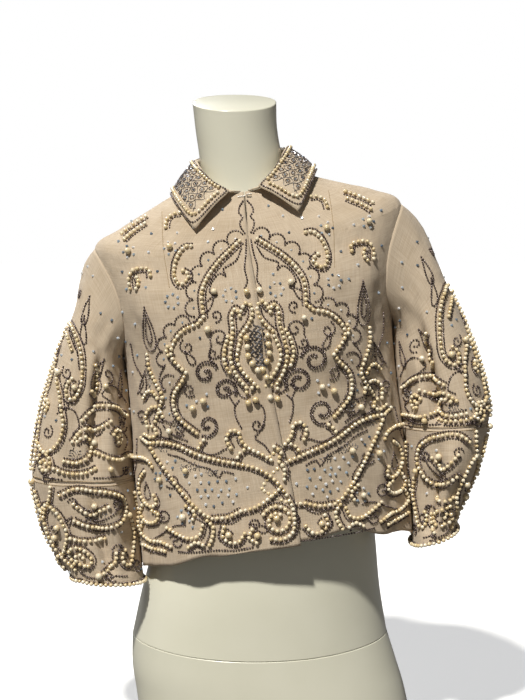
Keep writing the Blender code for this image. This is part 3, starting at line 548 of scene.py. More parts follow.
FORM_HIPS = (
    (170.7, -597.4, -584.4, -574.4, -112, 110, 19.5, 0.5),
    (177.5, -632, -626, -620, -114, 117, 26, 0.2), (180.5, -664, -662, -660, -115, 122, 34, 0),
    (183, -720, -720, -720, -116, 124, 44, 0),
)
FORM_SQUARENESS = 2.15

# %% [markdown]
# ## Finishes
#
# Each finish is named for the real material. A weave repeats by the millimetre across the
# cloth, so the cloth's materials read a UV map that is laid out in millimetres. Harder things
# read Object coordinates, which stay with the piece.

# %% Colours and a helper for nodes
def linear(code):
    """An sRGB hex colour as linear numbers."""
    values = [int(code[i:i + 2], 16) / 255 for i in (1, 3, 5)]
    values = [v / 12.92 if v < 0.04045 else ((v + 0.055) / 1.055) ** 2.4 for v in values]
    return (*values, 1)


def node(tree, kind, settings=None, **links):
    """Adds a node, sets its inputs and properties by name, and links what comes in."""
    made = tree.nodes.new("ShaderNode" + kind)
    for key, value in (settings or {}).items():
        if isinstance(key, int) or key in made.inputs:
            made.inputs[key].default_value = value
        else:
            setattr(made, key, value)
    for key, source in links.items():
        name = int(key[1:]) if key[1:].isdigit() else key.replace("_", " ")
        tree.links.new(source, made.inputs[name])
    return made


def finish_material(name, **values):
    """A new material with a Principled BSDF, its plain values set on its own sockets."""
    made = bpy.data.materials.new(name)
    made.use_nodes = True
    shader = made.node_tree.nodes["Principled BSDF"]
    for key, value in values.items():
        shader.inputs[key.replace("_", " ")].default_value = value
    return made, made.node_tree, shader


def noise_at(tree, place, scale, detail, rough):
    values = {"Scale": scale, "Detail": detail, "Roughness": rough}
    return node(tree, "TexNoise", values, Vector=place).outputs["Fac"]


def reckon(tree, operation, first, second):
    """A Math node with one output. The second value may be a plain number."""
    values = {"operation": operation}
    if isinstance(second, float):
        return node(tree, "Math", {**values, 1: second}, _0=first).outputs[0]
    return node(tree, "Math", values, _0=first, _1=second).outputs[0]


def ramp(tree, source, stops):
    made = node(tree, "ValToRGB", _0=source)
    bar = made.color_ramp.elements
    while len(bar) < len(stops):
        bar.new(0.5)
    for element, (place, code) in zip(bar, stops):
        element.position = place
        element.color = linear(code)
    return made.outputs["Color"]


# %% [markdown]
# ### Linen
#
# The jacket is woven from flax, slightly slubbed, in a warm oatmeal. Real threads lie about
# 0.5 mm apart, too fine for this picture, so the weave is drawn at 1.5 mm. Long soft streaks
# stand for thicker threads, and slow uneven patches turn the colour a little darker and browner.

# %% Linen
WEAVE = 1.5 * MM


def linen(name, light, dark, patch_colour):
    made, tree, shader = finish_material(name, Roughness=0.92, Sheen_Weight=0.12, IOR=1.47)
    shader.inputs["Sheen Roughness"].default_value = 0.6
    shader.inputs["Specular IOR Level"].default_value = 0.25
    flat = node(tree, "UVMap", {"uv_map": "cloth"}).outputs["UV"]
    solid = node(tree, "TexCoord").outputs["Object"]
    waves = {"Scale": 0.314 / WEAVE, "Distortion": 1.6, "Detail": 2, "Detail Scale": 1.2}
    heights, streaks = [], []
    for turn in (0, math.pi / 2):
        turned = node(tree, "Mapping", {"Rotation": (0, 0, turn)}, Vector=flat).outputs[0]
        wave = node(tree, "TexWave", {**waves, "bands_direction": "X"}, Vector=turned)
        heights.append(wave.outputs["Fac"])
        long = node(tree, "Mapping", {"Scale": (650, 22, 1)}, Vector=turned).outputs[0]
        streaks.append(noise_at(tree, long, 1, 2, 0.6))
    woven = reckon(tree, "MULTIPLY", *heights)
    half = reckon(tree, "MULTIPLY", reckon(tree, "ADD", *streaks), 0.5)
    colour = ramp(tree, half, ((0.36, dark), (0.62, light)))
    # slow uneven patches that turn the colour a little darker and browner
    patch_noise = noise_at(tree, solid, 14, 5, 0.6)
    patch_range = {"From Min": 0.5, "From Max": 0.78, "To Max": 0.4}
    patch_share = node(tree, "MapRange", patch_range, Value=patch_noise).outputs[0]
    mixed = {"data_type": "RGBA"}
    patched = node(tree, "Mix", {**mixed, 7: linear(patch_colour)}, _0=patch_share, _6=colour).outputs[2]
    # the weave's hollows are painted darker and its raised threads a little lighter: painted shade
    # and highlight of the weave, besides its bump
    depth = node(tree, "MapRange", {"To Min": 0.86, "To Max": 1.05}, Value=woven).outputs[0]
    shade = node(tree, "CombineColor", {}, _0=depth, _1=depth, _2=depth).outputs[0]
    full = node(tree, "Mix", {**mixed, "blend_type": "MULTIPLY", 0: 1}, _6=patched, _7=shade)
    tree.links.new(full.outputs[2], shader.inputs["Base Color"])
    rough = reckon(tree, "ADD", woven, half)
    bump = node(tree, "Bump", {"Strength": 0.42, "Distance": 0.35 * MM}, Height=rough)
    tree.links.new(bump.outputs["Normal"], shader.inputs["Normal"])
    return made


linen_cloth = linen("linen_oatmeal", "#D8C7AF", "#C3AF95", "#AE9878")
linen_collar = linen("linen_oatmeal_collar", "#D9C9B1", "#C5B197", "#B19B7B")
print("linen weave at", WEAVE / MM, "mm")

# %% [markdown]
# ### Pearls, glass beads, stones, wire and shell
#
# Imitation pearls are glass balls dipped in lacquer, so they have a soft body colour under a
# clear coat. No two are quite alike: each bead carries a number called tone, and the colour
# follows it. The seed beads are dark glass with a metal sheen. The stones are cut glass with
# foil behind, which acts as a mirror broken into facets, and their colour runs by tone from
# dark blue-grey to pure white: the pale and white ones are painted glints. The form is moulded
# fibreglass.

# %% Beads, stones, wire and shell
def toned(name, stops, **values):
    made, tree, shader = finish_material(name, **values)
    tone = node(tree, "Attribute", {"attribute_name": "tone"}).outputs["Fac"]
    tree.links.new(ramp(tree, tone, stops), shader.inputs["Base Color"])
    return made


pearl = toned(
    "pearl_lacquer", ((0, "#DFC796"), (0.5, "#EDDBB4"), (1, "#F7ECD2")),
    Roughness=0.28, Coat_Weight=1, Coat_Roughness=0.14, IOR=1.53,
)
dark_glass = toned(
    "dark_lustre_glass", ((0, "#4B3F3D"), (0.65, "#6B5D5A"), (1, "#A89C97")),
    Roughness=0.32, Metallic=0.55,
)
silver_glass = toned(
    "silver_lined_glass", ((0, "#4A4749"), (0.45, "#7E7C80"), (1, "#D4D4DA")),
    Roughness=0.22, Metallic=0.7,
)
# the stones' colour runs by tone from dark blue-grey to pure white: the pale and white stones are
# painted glints of the foil, given at random
stone_glass_painted_glints = toned(
    "foiled_cut_glass_painted_glints", ((0, "#4E6074"), (0.4, "#AFC2D3"), (1, "#FFFFFF")),
    Roughness=0.12, Metallic=0.35, Coat_Weight=0.9, Coat_Roughness=0.03,
)
steel = {"Base_Color": linear("#8F8D89"), "Metallic": 1, "Roughness": 0.42}
wire_steel = finish_material("drawn_steel_wire", **steel)[0]
# darker than the linen: used for the rows beside the elbow seam, and as painted shade along the
# shoulder darts
thread_and_dart_shade = finish_material("cotton_thread_and_dart_shade", Base_Color=linear("#A48E6C"), Roughness=0.9)[0]


def moulded_shell():
    made, tree, shader = finish_material(
        "gelcoat_fibreglass", Roughness=0.34, Coat_Weight=0.35, Coat_Roughness=0.18, IOR=1.52,
    )
    solid = node(tree, "TexCoord").outputs["Object"]
    slow = noise_at(tree, solid, 7, 4, 0.55)
    colour = ramp(tree, slow, ((0.3, "#DCDAC6"), (0.7, "#E4E2D0")))
    tree.links.new(colour, shader.inputs["Base Color"])
    fine = noise_at(tree, solid, 160, 3, 0.5)
    bump = node(tree, "Bump", {"Strength": 0.06, "Distance": 0.4 * MM}, Height=fine)
    tree.links.new(bump.outputs["Normal"], shader.inputs["Normal"])
    return made


shell = moulded_shell()
print(len(bpy.data.materials), "materials")

# %% [markdown]
# ## Laying the cloth
#
# A panel could be draped by simulation, but a stiff beaded linen holds the shape that it was
# pressed to. Each panel is therefore one grid whose points are moved to the surface above,
# then given the thickness of the cloth. A UV map in metres goes with it for the weave.

# %% Cloth panels
CLOTH_THICKNESS = 1.5
# the swellings die away over so many places towards a seam
SEAM_FADE = 9


def pucker(points):
    """Small uneven swellings, where the beading draws the cloth together."""
    flat = points.reshape(-1, 3)
    large = np.array([noise.noise(Vector(place) / PUCKER_SIZE) for place in flat])
    small = np.array([noise.noise(Vector(place) / PUCKER_SMALL) for place in flat])
    return (large + 0.5 * small).reshape(points.shape[:-1]) * PUCKER


def grid_normals(grid):
    return unit(np.cross(np.gradient(grid, axis=1), np.gradient(grid, axis=0)))


def shown(name, data):
    """A new object with its data, linked to the scene."""
    made = bpy.data.objects.new(name, data)
    bpy.context.scene.collection.objects.link(made)
    return made


def new_piece(name, mesh, material, slot_name, smooth_faces=True):
    if smooth_faces:
        mesh.shade_smooth()
    mesh.materials.append(material)
    piece = shown(name, mesh)
    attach(piece, "root")
    return piece


def mesh_of(name, shape):
    mesh = bpy.data.meshes.new(name)
    shape.to_mesh(mesh)
    shape.free()
    return mesh


def grid_shape(grid, closed=False):
    """A bmesh grid moved onto an array of points, with a UV map in metres."""
    rows, columns = grid.shape[:2]
    shape = bmesh.new()
    layer = shape.loops.layers.uv.new("cloth")
    bmesh.ops.create_grid(shape, x_segments=columns - 1, y_segments=rows - 1, size=1)
    shape.verts.ensure_lookup_table()
    width = np.linalg.norm(np.diff(grid, axis=1), axis=2).sum(axis=1).max() * MM
    length = np.linalg.norm(np.diff(grid, axis=0), axis=2).sum(axis=0).max() * MM
    places = to_world(grid.reshape(-1, 3))
    for face in shape.faces:
        for loop in face.loops:
            across, down = loop.vert.co.xy
            loop[layer].uv = ((across + 1) * 0.5 * width, (down + 1) * 0.5 * length)
    for index, vertex in enumerate(shape.verts):
        vertex.co = places[index]
    if closed:
        bmesh.ops.remove_doubles(shape, verts=shape.verts, dist=0.005 * MM)
    return shape


def lay_cloth(name, node_name, closed, flip, material):
    grid = grids[node_name]
    swelling = pucker(grid)
    facing = grid_normals(grid)
    if closed:
        facing[:, 0] = facing[:, -1] = unit(facing[:, 0] + facing[:, -1])
    inside = grid.reshape(-1, 3).mean(axis=0)
    if ((grid - inside) * facing).sum() < 0:
        facing = -facing
    counts = [np.arange(size) for size in grid.shape[:2]]
    rows, columns = (np.minimum(np.minimum(n, n[::-1]) / SEAM_FADE, 1) for n in counts)
    fade = rows[:, None] * (1 if closed else columns)
    grids[node_name] = grid = grid + facing * (swelling * fade)[..., None]
    mesh = mesh_of(name, grid_shape(grid[:, ::-1] if flip else grid, closed))
    piece = new_piece(name, mesh, material, "cloth")
    wall = piece.modifiers.new("wall", "SOLIDIFY")
    wall.thickness = CLOTH_THICKNESS * MM
    wall.offset = -1
    wall.use_even_offset = True
    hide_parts(node_name)
    return piece


PANELS = {
    "front_right": (False, False), "front_left": (False, True), "back": (False, True),
    "sleeve_right_upper": (True, True), "sleeve_right_lower": (True, True),
    "sleeve_left_upper": (True, False), "sleeve_left_lower": (True, False),
    "collar": (False, False),
}
cloth = {}
for name, (closed, flip) in PANELS.items():
    used = linen_collar if name == "collar" else linen_cloth
    cloth[name] = lay_cloth("cloth_" + name, name, closed, flip, used)
print("cloth pieces:", len(cloth))

# %% [markdown]
# ## Building the form
#
# The same rings, but four times as close, make the shell smooth. The neck is closed by a cap
# that is set in by three millimetres, and the edges that meet at the hips are eased, so that
# the joint shows as a fine dark line.

# %% The form's two shells
def form_shape(rows, between_rows, flat_top=False):
    angles = np.linspace(-180, 180, 97)
    values = smooth(rows, np.linspace(0, len(rows) - 1, (len(rows) - 1) * between_rows + 1))
    points = ring_point(values[:, None, :], angles[None, :], FORM_SQUARENESS)
    tilt = np.radians(values[:, 7])[:, None]
    across = values[:, 6][:, None] + points[..., 0] * np.cos(tilt)
    up = points[..., 2] + points[..., 0] * np.sin(tilt)
    grid = np.stack((across, points[..., 1], up), -1)
    if flat_top:
        deep = (grid[0, :, 1] - grid[0, :, 1].min()) / np.ptp(grid[0, :, 1])
        grid[0, :, 2] = rows[0][1] + (rows[0][3] - rows[0][1]) * deep
    shape = grid_shape(grid, closed=True)
    rims = [edge for edge in shape.edges if edge.is_boundary]
    caps = bmesh.ops.holes_fill(shape, edges=rims, sides=0)["faces"]
    if flat_top:
        top = max(caps, key=lambda face: face.calc_center_median().z)
        bmesh.ops.inset_individual(shape, faces=[top], thickness=3 * MM, depth=-0.8 * MM)
    bmesh.ops.recalc_face_normals(shape, faces=shape.faces)
    return shape


def form_part(name, node_name, rows, flat_top=False):
    piece = new_piece(name, mesh_of(name, form_shape(rows, 4, flat_top)), shell, "form")
    piece.data.set_sharp_from_angle(angle=math.radians(40))
    edge = piece.modifiers.new("eased_edges", "BEVEL")
    edge.width = 0.9 * MM
    edge.segments = 2
    edge.limit_method = "ANGLE"
    edge.angle_limit = math.radians(45)
    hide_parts(node_name)


form_part("dress_form_torso", "form_torso", FORM_TORSO, flat_top=True)
form_part("dress_form_hips", "form_hips", FORM_HIPS)
for name in ("neck_hook", "neck_eye"):
    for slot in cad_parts[name].material_slots:
        slot.material = wire_steel
print("form and wire done")

# %% [markdown]
# ## Patterns of the beading
#
# The ornament is the old vocabulary of scrolls, shells, leaves and vases. It comes in mirrored
# pairs either side of the front edges. The first table gives the raised strings of pearls that
# are also solids of the model. Lines are drawn flat, in millimetres across from the middle
# line and down from the neck, and are laid on the cloth afterwards.

# %% Strings of pearls that the model holds as solids
# The strands of sewn pearls. On fronts and back each is drawn flat, as distances across from
# the middle line and down from the neck; leaves, arches and scrolls all come in mirrored pairs.
STRANDS = {
    "arch": ((11, 63), (24, 73), (40, 86), (55, 103), (64, 122), (64, 150)),
    "lobe": ((72, 158), (90, 164), (104, 178), (108, 196), (92, 216)),
    "bowl": ((98, 226), (109, 240), (112, 257), (106, 275), (86, 294)),
    "vase": (
        (19, 154), (23, 145), (29, 153), (29, 170), (33, 190), (35, 208), (29, 228), (19, 243),
    ),
    "leaf_top": ((151, 303), (132, 303), (112, 308), (90, 320), (66, 329), (38, 337)),
    "leaf_side": ((145, 315), (133, 335), (120, 355), (104, 377), (87, 396)),
    "leaf_foot": ((77, 402), (58, 402), (40, 396)),
    "hem_hook": ((63, 414), (66, 425), (58, 434), (46, 434), (38, 424)),
    "hem_wave": ((136, 412), (122, 420), (108, 425), (95, 421), (90, 409)),
    "side_scroll": ((140, 190), (139, 208), (131, 228), (125, 246), (138, 276)),
}
BACK_STRANDS = ("arch", "lobe", "bowl", "leaf_top", "leaf_side")
# a spiral in the corner of the front that laps over: its middle, and its first and last sizes
# and angles
SPIRAL_MIDDLE, SPIRAL_SIZES, SPIRAL_ANGLES = (4, 412), (19, 8), (150, -300)
# strands of the sleeves, as an angle around and a row down, and of the collar
SLEEVE_STRANDS = {
    "upper_scroll": ((38, 1.2), (56, 1.6), (70, 2.2), (68, 2.8), (52, 3.1), (36, 2.9)),
    "upper_wave": ((84, 2.7), (96, 2.3), (110, 2.3), (124, 2)),
    "outer_wave": ((348, 0.6), (356, 1.5), (346, 2.4), (356, 3.3)),
    "lower_scroll": ((30, 5.3), (44, 4.8), (64, 5), (68, 5.8), (50, 6.4), (32, 6.6)),
    "lower_wave": ((84, 4.7), (100, 5.1), (120, 4.8)),
    "back_scroll": ((300, 5.4), (284, 4.9), (264, 5.2), (262, 6), (282, 6.3)),
}
COLLAR_STRAND = (
    (0.955, 4.4), (0.96, 5.2), (0.96, 6), (0.94, 6.5), (0.86, 6.55), (0.7, 6.5), (0.5, 6.5),
    (0.3, 6.5), (0.12, 6.5),
)

# %% More lines of pearls on the fronts
FRONT_PEARLS = {
    "vase": (
        ((17, 149), (11, 140), (4, 144), (4, 156), (11, 168), (20, 178)),
        ((21, 184), (25, 196), (27, 208), (22, 222), (12, 235), (5, 244)),
        ((36, 178), (41, 192), (43, 208), (38, 222)), ((19, 249), (12, 244)),
    ),
    "waist": (
        ((46, 316), (50, 305), (44, 295), (34, 297), (31, 309), (22, 319), (9, 327), (-3, 336)),
    ),
    "leaf": (
        ((38, 337), (24, 341), (10, 348), (-1, 357), (-10, 368), (-18, 382)),
        ((40, 396), (26, 394), (13, 389), (2, 382), (-9, 374)), ((88, 319), (84, 309), (78, 303)),
        ((40, 335), (36, 325), (29, 320)),
    ),
    "side": (
        ((151, 246), (145, 238), (137, 238), (132, 246)),
        ((149, 282), (150, 268), (142, 258), (131, 259), (127, 270)),
        ((154, 292), (144, 296), (137, 289), (143, 282)),
        ((176, 324), (162, 323), (152, 327), (148, 334)),
        ((160, 341), (168, 352), (171, 366), (166, 379), (155, 386), (147, 380), (150, 371)),
        ((168, 386), (172, 398), (164, 407), (151, 405), (146, 396), (154, 391)),
        ((170, 408), (174, 422), (162, 430), (147, 431), (133, 436)),
    ),
    "hem": (
        ((172, 438), (156, 441), (142, 443)), ((84, 404), (77, 413), (79, 425), (84, 435)),
        ((110, 436), (100, 430), (92, 434)),
    ),
    "shoulder": (
        ((154, 105), (155, 92), (149, 83), (138, 81), (128, 84), (127, 92)),
        ((144, 92), (142, 99), (146, 106)),
        (
            (72, 62), (81, 62), (90, 71), (95, 84), (96, 97), (91, 107), (83, 105), (78, 97),
            (85, 91),
        ),
        ((162, 35), (146, 25), (129, 17)), ((158, 43), (143, 33), (130, 26)),
        ((103, 34), (101, 25), (93, 19), (84, 18)),
    ),
    "joins": (
        ((92, 216), (98, 226)), ((108, 196), (114, 190), (112, 182)), ((64, 150), (72, 158)),
        ((87, 396), (77, 402)), ((160, 297), (151, 303), (145, 315)),
        ((108, 384), (98, 392), (101, 401)),
    ),
}
LAP_PEARLS = (
    ((-8, 320), (-16, 328), (-12, 338), (-18, 348), (-17, 362)),
    ((-18, 384), (-24, 398), (-25, 414), (-21, 430), (-8, 436), (6, 434)),
    ((28, 420), (33, 430), (24, 437)),
)
LARGE_PEARLS = (
    (153, 58), (99, 60), (48, 121), (8, 126), (74, 254), (92, 210), (139, 350), (113, 398),
    (144, 306), (13, 182), (13, 193), (13, 204), (9, 214), (3, 223), (18, 262), (9, 259),
    (58, 424), (88, 262), (60, 166), (104, 340), (120, 288),
)
LAP_LARGE = ((-3, 409), (-1, 421), (-7, 233), (22, 428))

# strings with a dark line on their other side as well
BOTH_SIDES = ("arch", "leaf_top", "leaf_foot", "vase", "bowl")
# the fine dark lines: curls (across, down, radius, turns, first angle, direction)
CURLS = (
    (49, 150, 8, 1, 90, 1), (68, 219, 16, 1.25, 200, 1), (47, 178, 12, 1.2, 20, -1),
    (46, 243, 16, 1.4, 150, 1), (72, 285, 16, 1.2, 60, 1), (10, 290, 9, 1.2, 200, -1),
    (88, 184, 10, 1.1, 300, 1), (90, 238, 9, 1.1, 120, -1), (124, 352, 10, 1.2, 40, 1),
    (64, 426, 11, 1.2, 200, 1), (126, 430, 10, 1.2, 320, -1), (158, 268, 9, 1.1, 90, 1),
    (134, 270, 9, 1.2, 270, -1), (32, 206, 7, 0.9, 20, 1), (24, 414, 9, 1.3, 90, -1),
    (140, 396, 10, 1.2, 30, 1), (56, 196, 7, 1, 140, -1), (108, 284, 8, 1, 60, 1),
)
DARK_LINES = (
    ((3, 13), (8, 20), (9, 27), (5, 33), (9, 39), (8, 46), (4, 53)),
    ((118, 204), (127, 220), (124, 240), (132, 262), (124, 288), (100, 302)),
    ((30, 258), (36, 266), (35, 280), (30, 292)),
    ((12, 262), (2, 268), (0, 282), (6, 296), (14, 306), (4, 316), (-2, 326)),
    ((52, 316), (70, 322), (92, 312), (118, 300), (142, 294), (162, 296)),
    ((46, 348), (58, 344), (64, 351), (74, 340), (92, 333), (110, 323), (126, 318)),
    ((96, 400), (84, 408), (70, 408), (54, 410), (42, 404)),
    ((168, 432), (150, 424), (128, 410), (112, 408)),
    ((30, 442), (52, 444), (78, 442), (100, 442), (124, 442)),
    ((20, 256), (27, 252), (32, 245), (41, 250), (36, 262)), ((54, 210), (62, 200), (58, 186)),
    ((163, 176), (160, 200), (150, 224), (160, 240)),
    ((10, 72), (18, 86), (34, 94), (32, 103), (40, 99), (50, 108), (54, 120), (46, 126)),
    ((168, 300), (172, 330), (178, 350)), ((3, 62), (5, 80), (8, 96), (6, 112), (10, 120)),
)
SHELLS = (
    (((7, 54), (24, 63), (42, 73), (60, 87), (70, 105), (75, 126), (76, 148)), 10.5),
    (((82, 152), (104, 158), (118, 180), (119, 206)), 11),
    (((109, 218), (121, 238), (122, 262), (104, 294)), 10.5),
)
# curls of at least this radius are sewn twice over
BOLD_CURL = 14
# closed teardrops: across, down, length, width, lean in degrees
TEARDROPS = (
    (136, 158, 56, 18, 4), (150, 226, 30, 10, -14), (86, 198, 20, 9, 30), (20, 418, 22, 9, 60),
    (160, 366, 22, 9, 0), (56, 134, 24, 10, -40), (110, 366, 26, 9, 30), (136, 158, 36, 8, 4),
)
# rings of stones: across, down, radius, number of stones
STONE_RINGS = (
    (29, 127, 8.5, 7), (102, 126, 8.5, 7), (99, 60, 8, 5), (153, 58, 7.5, 5), (139, 350, 8, 4),
    (74, 254, 9, 3), (113, 398, 8.5, 5),
)
# rows of silver tubes inside the vase, as zigzags from top to bottom
ZIGZAGS = ((7, 172, 8, 206), (2, 166, 3, 222), (-3, 168, -2, 226), (-8, 180, -6, 220))
ZIGZAG_WIDTH, ZIGZAG_PITCH = 2.6, 3.2
# fields filled with short silver tubes: across, down, half the width and half the height
FIELDS = (
    (109, 276, 7, 15), (143, 216, 5, 19), (98, 336, 15, 6), (132, 311, 7, 4), (72, 344, 9, 5),
    (46, 300, 6, 5),
)
FIELD_PITCH = 3.6
# where loose stones may lie, on the leaf and on the whole front: two corners and the spacing
LEAF_STONES, FRONT_STONES = ((45, 318), (140, 396), 11), ((6, 20), (176, 440), 25)
# the shoulder darts are sewn on the inside; the fine line of darker thread beads laid along them
# outside is painted shade of the dart's fold
DART_SHADE_LINES = (((108, 12), (108, 60), (104, 108)), ((52, 8), (53, 20)))

# %% Lines of pearls and curls on the sleeves
SLEEVE_PEARLS = {
    "cap_string": (
        (24, 0), (40, 0), (58, 0.1), (73, 0.35), (83, 0.8), (86, 1.25), (79, 1.6), (70, 1.62),
        (66, 1.38), (71, 1.18),
    ),
    "cap_double": ((28, 0.25), (44, 0.35), (58, 0.5)),
    "cap_branch": ((158, 1.78), (144, 1.62), (128, 1.55), (112, 1.6), (100, 1.8), (93, 2.08)),
    "cap_drop": ((97, 0.45), (106, 0.7), (111, 1.05), (105, 1.35), (98, 1.28)),
    "outer_upper": ((22, 1), (27, 1.6), (26, 2.3), (30, 3), (27, 3.7)),
    "ridge_upper": ((8, 0.2), (5, 1), (7, 1.9), (3, 2.8), (6, 3.8)),
    "scroll": ((76, 3.3), (90, 3.32), (101, 3.1), (104, 2.75), (97, 2.52), (90, 2.68)),
    "under_scroll": ((66, 3.55), (80, 3.68), (96, 3.66), (110, 3.5)),
    "inner_wave": ((112, 2.95), (124, 3.15), (140, 3.22), (156, 3.12), (168, 3.18)),
    "below_string": ((61, 4.15), (58, 4.45), (50, 4.75), (42, 4.95), (37, 5.2)),
    "leaf": (
        (71, 4.4), (86, 4.2), (104, 4.22), (122, 4.32), (138, 4.58), (143, 4.98), (133, 5.35),
        (114, 5.52), (96, 5.48), (82, 5.25),
    ),
    "edge_lower": ((30, 4.4), (35, 5.2), (34, 6), (40, 6.7), (52, 7.2)),
    "ridge_lower": ((6, 4.3), (2, 5.1), (8, 5.9), (3, 6.7), (8, 7.4)),
    "low_string": ((66, 5.8), (80, 5.92), (98, 5.96), (114, 5.88)),
    "inner_low": (
        (151, 5.4), (157, 5.9), (152, 6.5), (142, 6.9), (131, 6.8), (129, 6.5), (136, 6.35),
    ),
    "cuff_string": ((96, 7.2), (108, 6.95), (119, 6.75), (122, 6.4)),
    "rear_low": ((162, 4.5), (170, 5.1), (166, 5.7), (172, 6.3)),
}
# of these the dark line runs on both sides
BOTH_ROUND = ("cap_string", "cap_branch", "leaf", "scroll")
SLEEVE_LINES = (
    ((160, 1.35), (148, 1), (134, 0.85), (121, 0.95), (115, 1.25), (122, 1.4)),
    ((60, 2.05), (72, 1.85), (84, 1.92), (90, 2.25), (84, 2.45)),
    ((34, 3.35), (46, 3.72), (60, 3.85), (74, 3.88)),
    ((156, 3.55), (140, 3.78), (122, 3.78), (108, 3.8)),
    ((60, 7.3), (74, 7.5), (92, 7.5), (112, 7.35), (130, 7.4)),
    ((150, 2.3), (158, 2.6), (152, 2.9)), ((92, 4.85), (106, 5.3), (124, 5.05), (132, 4.8)),
)
SLEEVE_PEARL_CURLS = (
    (52, 3.45, 14, 1.4, 200, 1), (76, 6.6, 18, 1.5, 150, 1), (36, 1.95, 9, 1, 60, -1),
    (135, 2.5, 12, 1.2, 200, 1), (20, 6.9, 9, 1.1, 60, 1),
)
SLEEVE_CURLS = (
    (68, 1.85, 10, 1.2, 90, 1), (60, 1.1, 9, 1.1, 200, -1), (112, 2.25, 9, 1.2, 20, 1),
    (50, 2.55, 9, 1.2, 300, 1), (122, 0.5, 10, 1.1, 90, -1), (98, 5.35, 8, 1.1, 200, 1),
    (46, 5.6, 7, 1.1, 90, -1), (130, 4.75, 8, 1.1, 20, 1), (20, 5.6, 8, 1.1, 120, 1),
    (150, 2.1, 10, 1.2, 20, 1), (150, 3.6, 8, 1.1, 200, -1), (104, 7.4, 7, 1.1, 60, 1),
    (16, 2.6, 8, 1.1, 90, 1), (160, 7, 9, 1.1, 90, 1), (18, -0.4, 8, 1.1, 320, 1),
    (84, 4.65, 7, 1.1, 200, 1), (124, 6.3, 9, 1.1, 30, -1),
)
SLEEVE_TEARDROPS = (
    (56, -0.35, 34, 14, -16), (66, -0.1, 30, 12, -30), (106, 0.6, 44, 12, 12),
    (134, 6.4, 24, 9, -30), (74, 5.3, 20, 8, 40), (18, 0.9, 26, 9, 10), (150, 0.6, 34, 11, 8),
    (58, 3.9, 20, 7, 80),
)
# where loose stones may lie, in degrees and in parts of a row, and how many parts a row has
SLEEVE_STONES, SLEEVE_ROW = ((0, -15), (180, 190), 20), 24
# rows of stitches beside the seam at the elbow, and of pearls and dark beads at the cuff
STITCHED_ROWS, CUFF_PEARLS, CUFF_SEEDS = (3.93, 4.08), 7.94, 7.8
SLEEVE_FIELDS = ((104, 5.05, 14, 9), (132, 4.72, 9, 8), (88, 3.05, 10, 7), (150, 1.95, 9, 7))
SLEEVE_LARGE = (
    (46, 1.2), (124, 3.5), (58, 5.5), (70, 6.5), (82, 6.75), (108, 4.75), (44, 5.9), (26, 4.1),
    (76, 1.35), (112, 2.65), (90, 7.3), (118, 1), (146, 5.2),
)

# %% [markdown]
# ## From the drawing to the cloth
#
# A line on a front or the back is dropped straight onto the cloth, as a pricked paper pattern
# is laid on a panel. A sleeve has its own two directions, round and down, so its lines are
# read from the sleeve's grid. Every line is then walked in real millimetres, so beads keep
# their spacing on a slope, and each bead knows which way the cloth faces beneath it.

# %% Helpers that lay a line
FULL_TURN = 2 * math.pi


def eased(table, count=16):
    last = len(table) - 1
    return smooth(table, np.linspace(0, last, count * last + 1))


def around(across, down, size, turn, squash=1):
    """Points round a middle, from their distance and their angle."""
    return np.stack((across + size * np.cos(turn), down + squash * size * np.sin(turn)), -1)


def curl(across, down, radius, turns, first, direction):
    share = np.linspace(0, 1, int(36 * turns))
    turn = np.radians(first + direction * 360 * turns * share)
    return around(across, down, radius * (1 - 0.78 * share), turn)


def teardrop(across, down, length, width, tilt):
    turn = np.linspace(0, FULL_TURN, 60)
    x = width / 2 * np.sin(turn) * np.sin(turn / 2) ** 1.5 * 1.3
    y = -length / 2 * np.cos(turn)
    cosine, sine = math.cos(math.radians(tilt)), math.sin(math.radians(tilt))
    return np.stack((across + x * cosine - y * sine, down + x * sine + y * cosine), -1)


def walked(points, spacing, *others):
    """Points evenly spaced along a line, with whatever else is known at each point."""
    steps = np.linalg.norm(np.diff(points, axis=0), axis=1)
    along = np.concatenate(([0], np.cumsum(steps)))
    count = max(int(round(along[-1] / spacing)), 1)
    places = np.linspace(0, along[-1], count + 1)
    found = [[np.interp(places, along, axis) for axis in values.T] for values in (points,) + others]
    return [np.stack(axes, -1) for axes in found]


def between(points):
    return (points[1:] + points[:-1]) / 2


def shells(base):
    """A row of half circles along the outer side of a line."""
    turn = np.linspace(math.pi, 0, 12)[:, None]
    found = []
    for start, end in zip(base, base[1:]):
        along = (end - start) / 2
        out = np.array((along[1], -along[0]))
        found.append((start + end) / 2 + along * np.cos(turn) + out * np.sin(turn))
    return np.concatenate(found)


def cloth_tree(*names):
    """A search tree over the finished faces of some cloth."""
    corners, faces = [], []
    graph = bpy.context.evaluated_depsgraph_get()
    for name in names:
        solid = cloth[name].evaluated_get(graph)
        mesh = solid.to_mesh()
        shift = len(corners)
        corners += [vertex.co.copy() for vertex in mesh.vertices]
        faces += [[shift + index for index in face.vertices] for face in mesh.polygons]
        solid.to_mesh_clear()
    return BVHTree.FromPolygons(corners, faces)


trees = {name: cloth_tree(name) for name in ("front_right", "front_left", "back", "collar")}
for which in ("right", "left"):
    trees["sleeve_" + which] = cloth_tree(f"sleeve_{which}_upper", f"sleeve_{which}_lower")


# a line is dropped from so many metres in front of the middle, or behind it
DROP_FROM = 0.5


def dropped(piece, flat):
    """A flat line dropped on a front or, from behind, on the back."""
    facing = 1 if piece == "back" else -1
    flat = np.asarray(flat, float)
    upright = np.stack((flat[:, 0], 0 * flat[:, 0], -flat[:, 1]), -1)
    places = to_world(lean(upright))
    places[:, 1] = facing * DROP_FROM
    way = Vector((0, -facing, 0))
    hits = [trees[piece].ray_cast(Vector(place), way) for place in places]
    hits = [(*place, *face) for place, face, _, _ in hits if place and face.dot(way) < -0.05]
    found = np.array(hits).reshape(-1, 6)
    return found[:, :3], found[:, 3:]


def nearest(piece, points):
    hits = [trees[piece].find_nearest(Vector(point)) for point in points]
    return [np.array([hit[part] for hit in hits]).reshape(-1, 3) for part in (0, 1)]


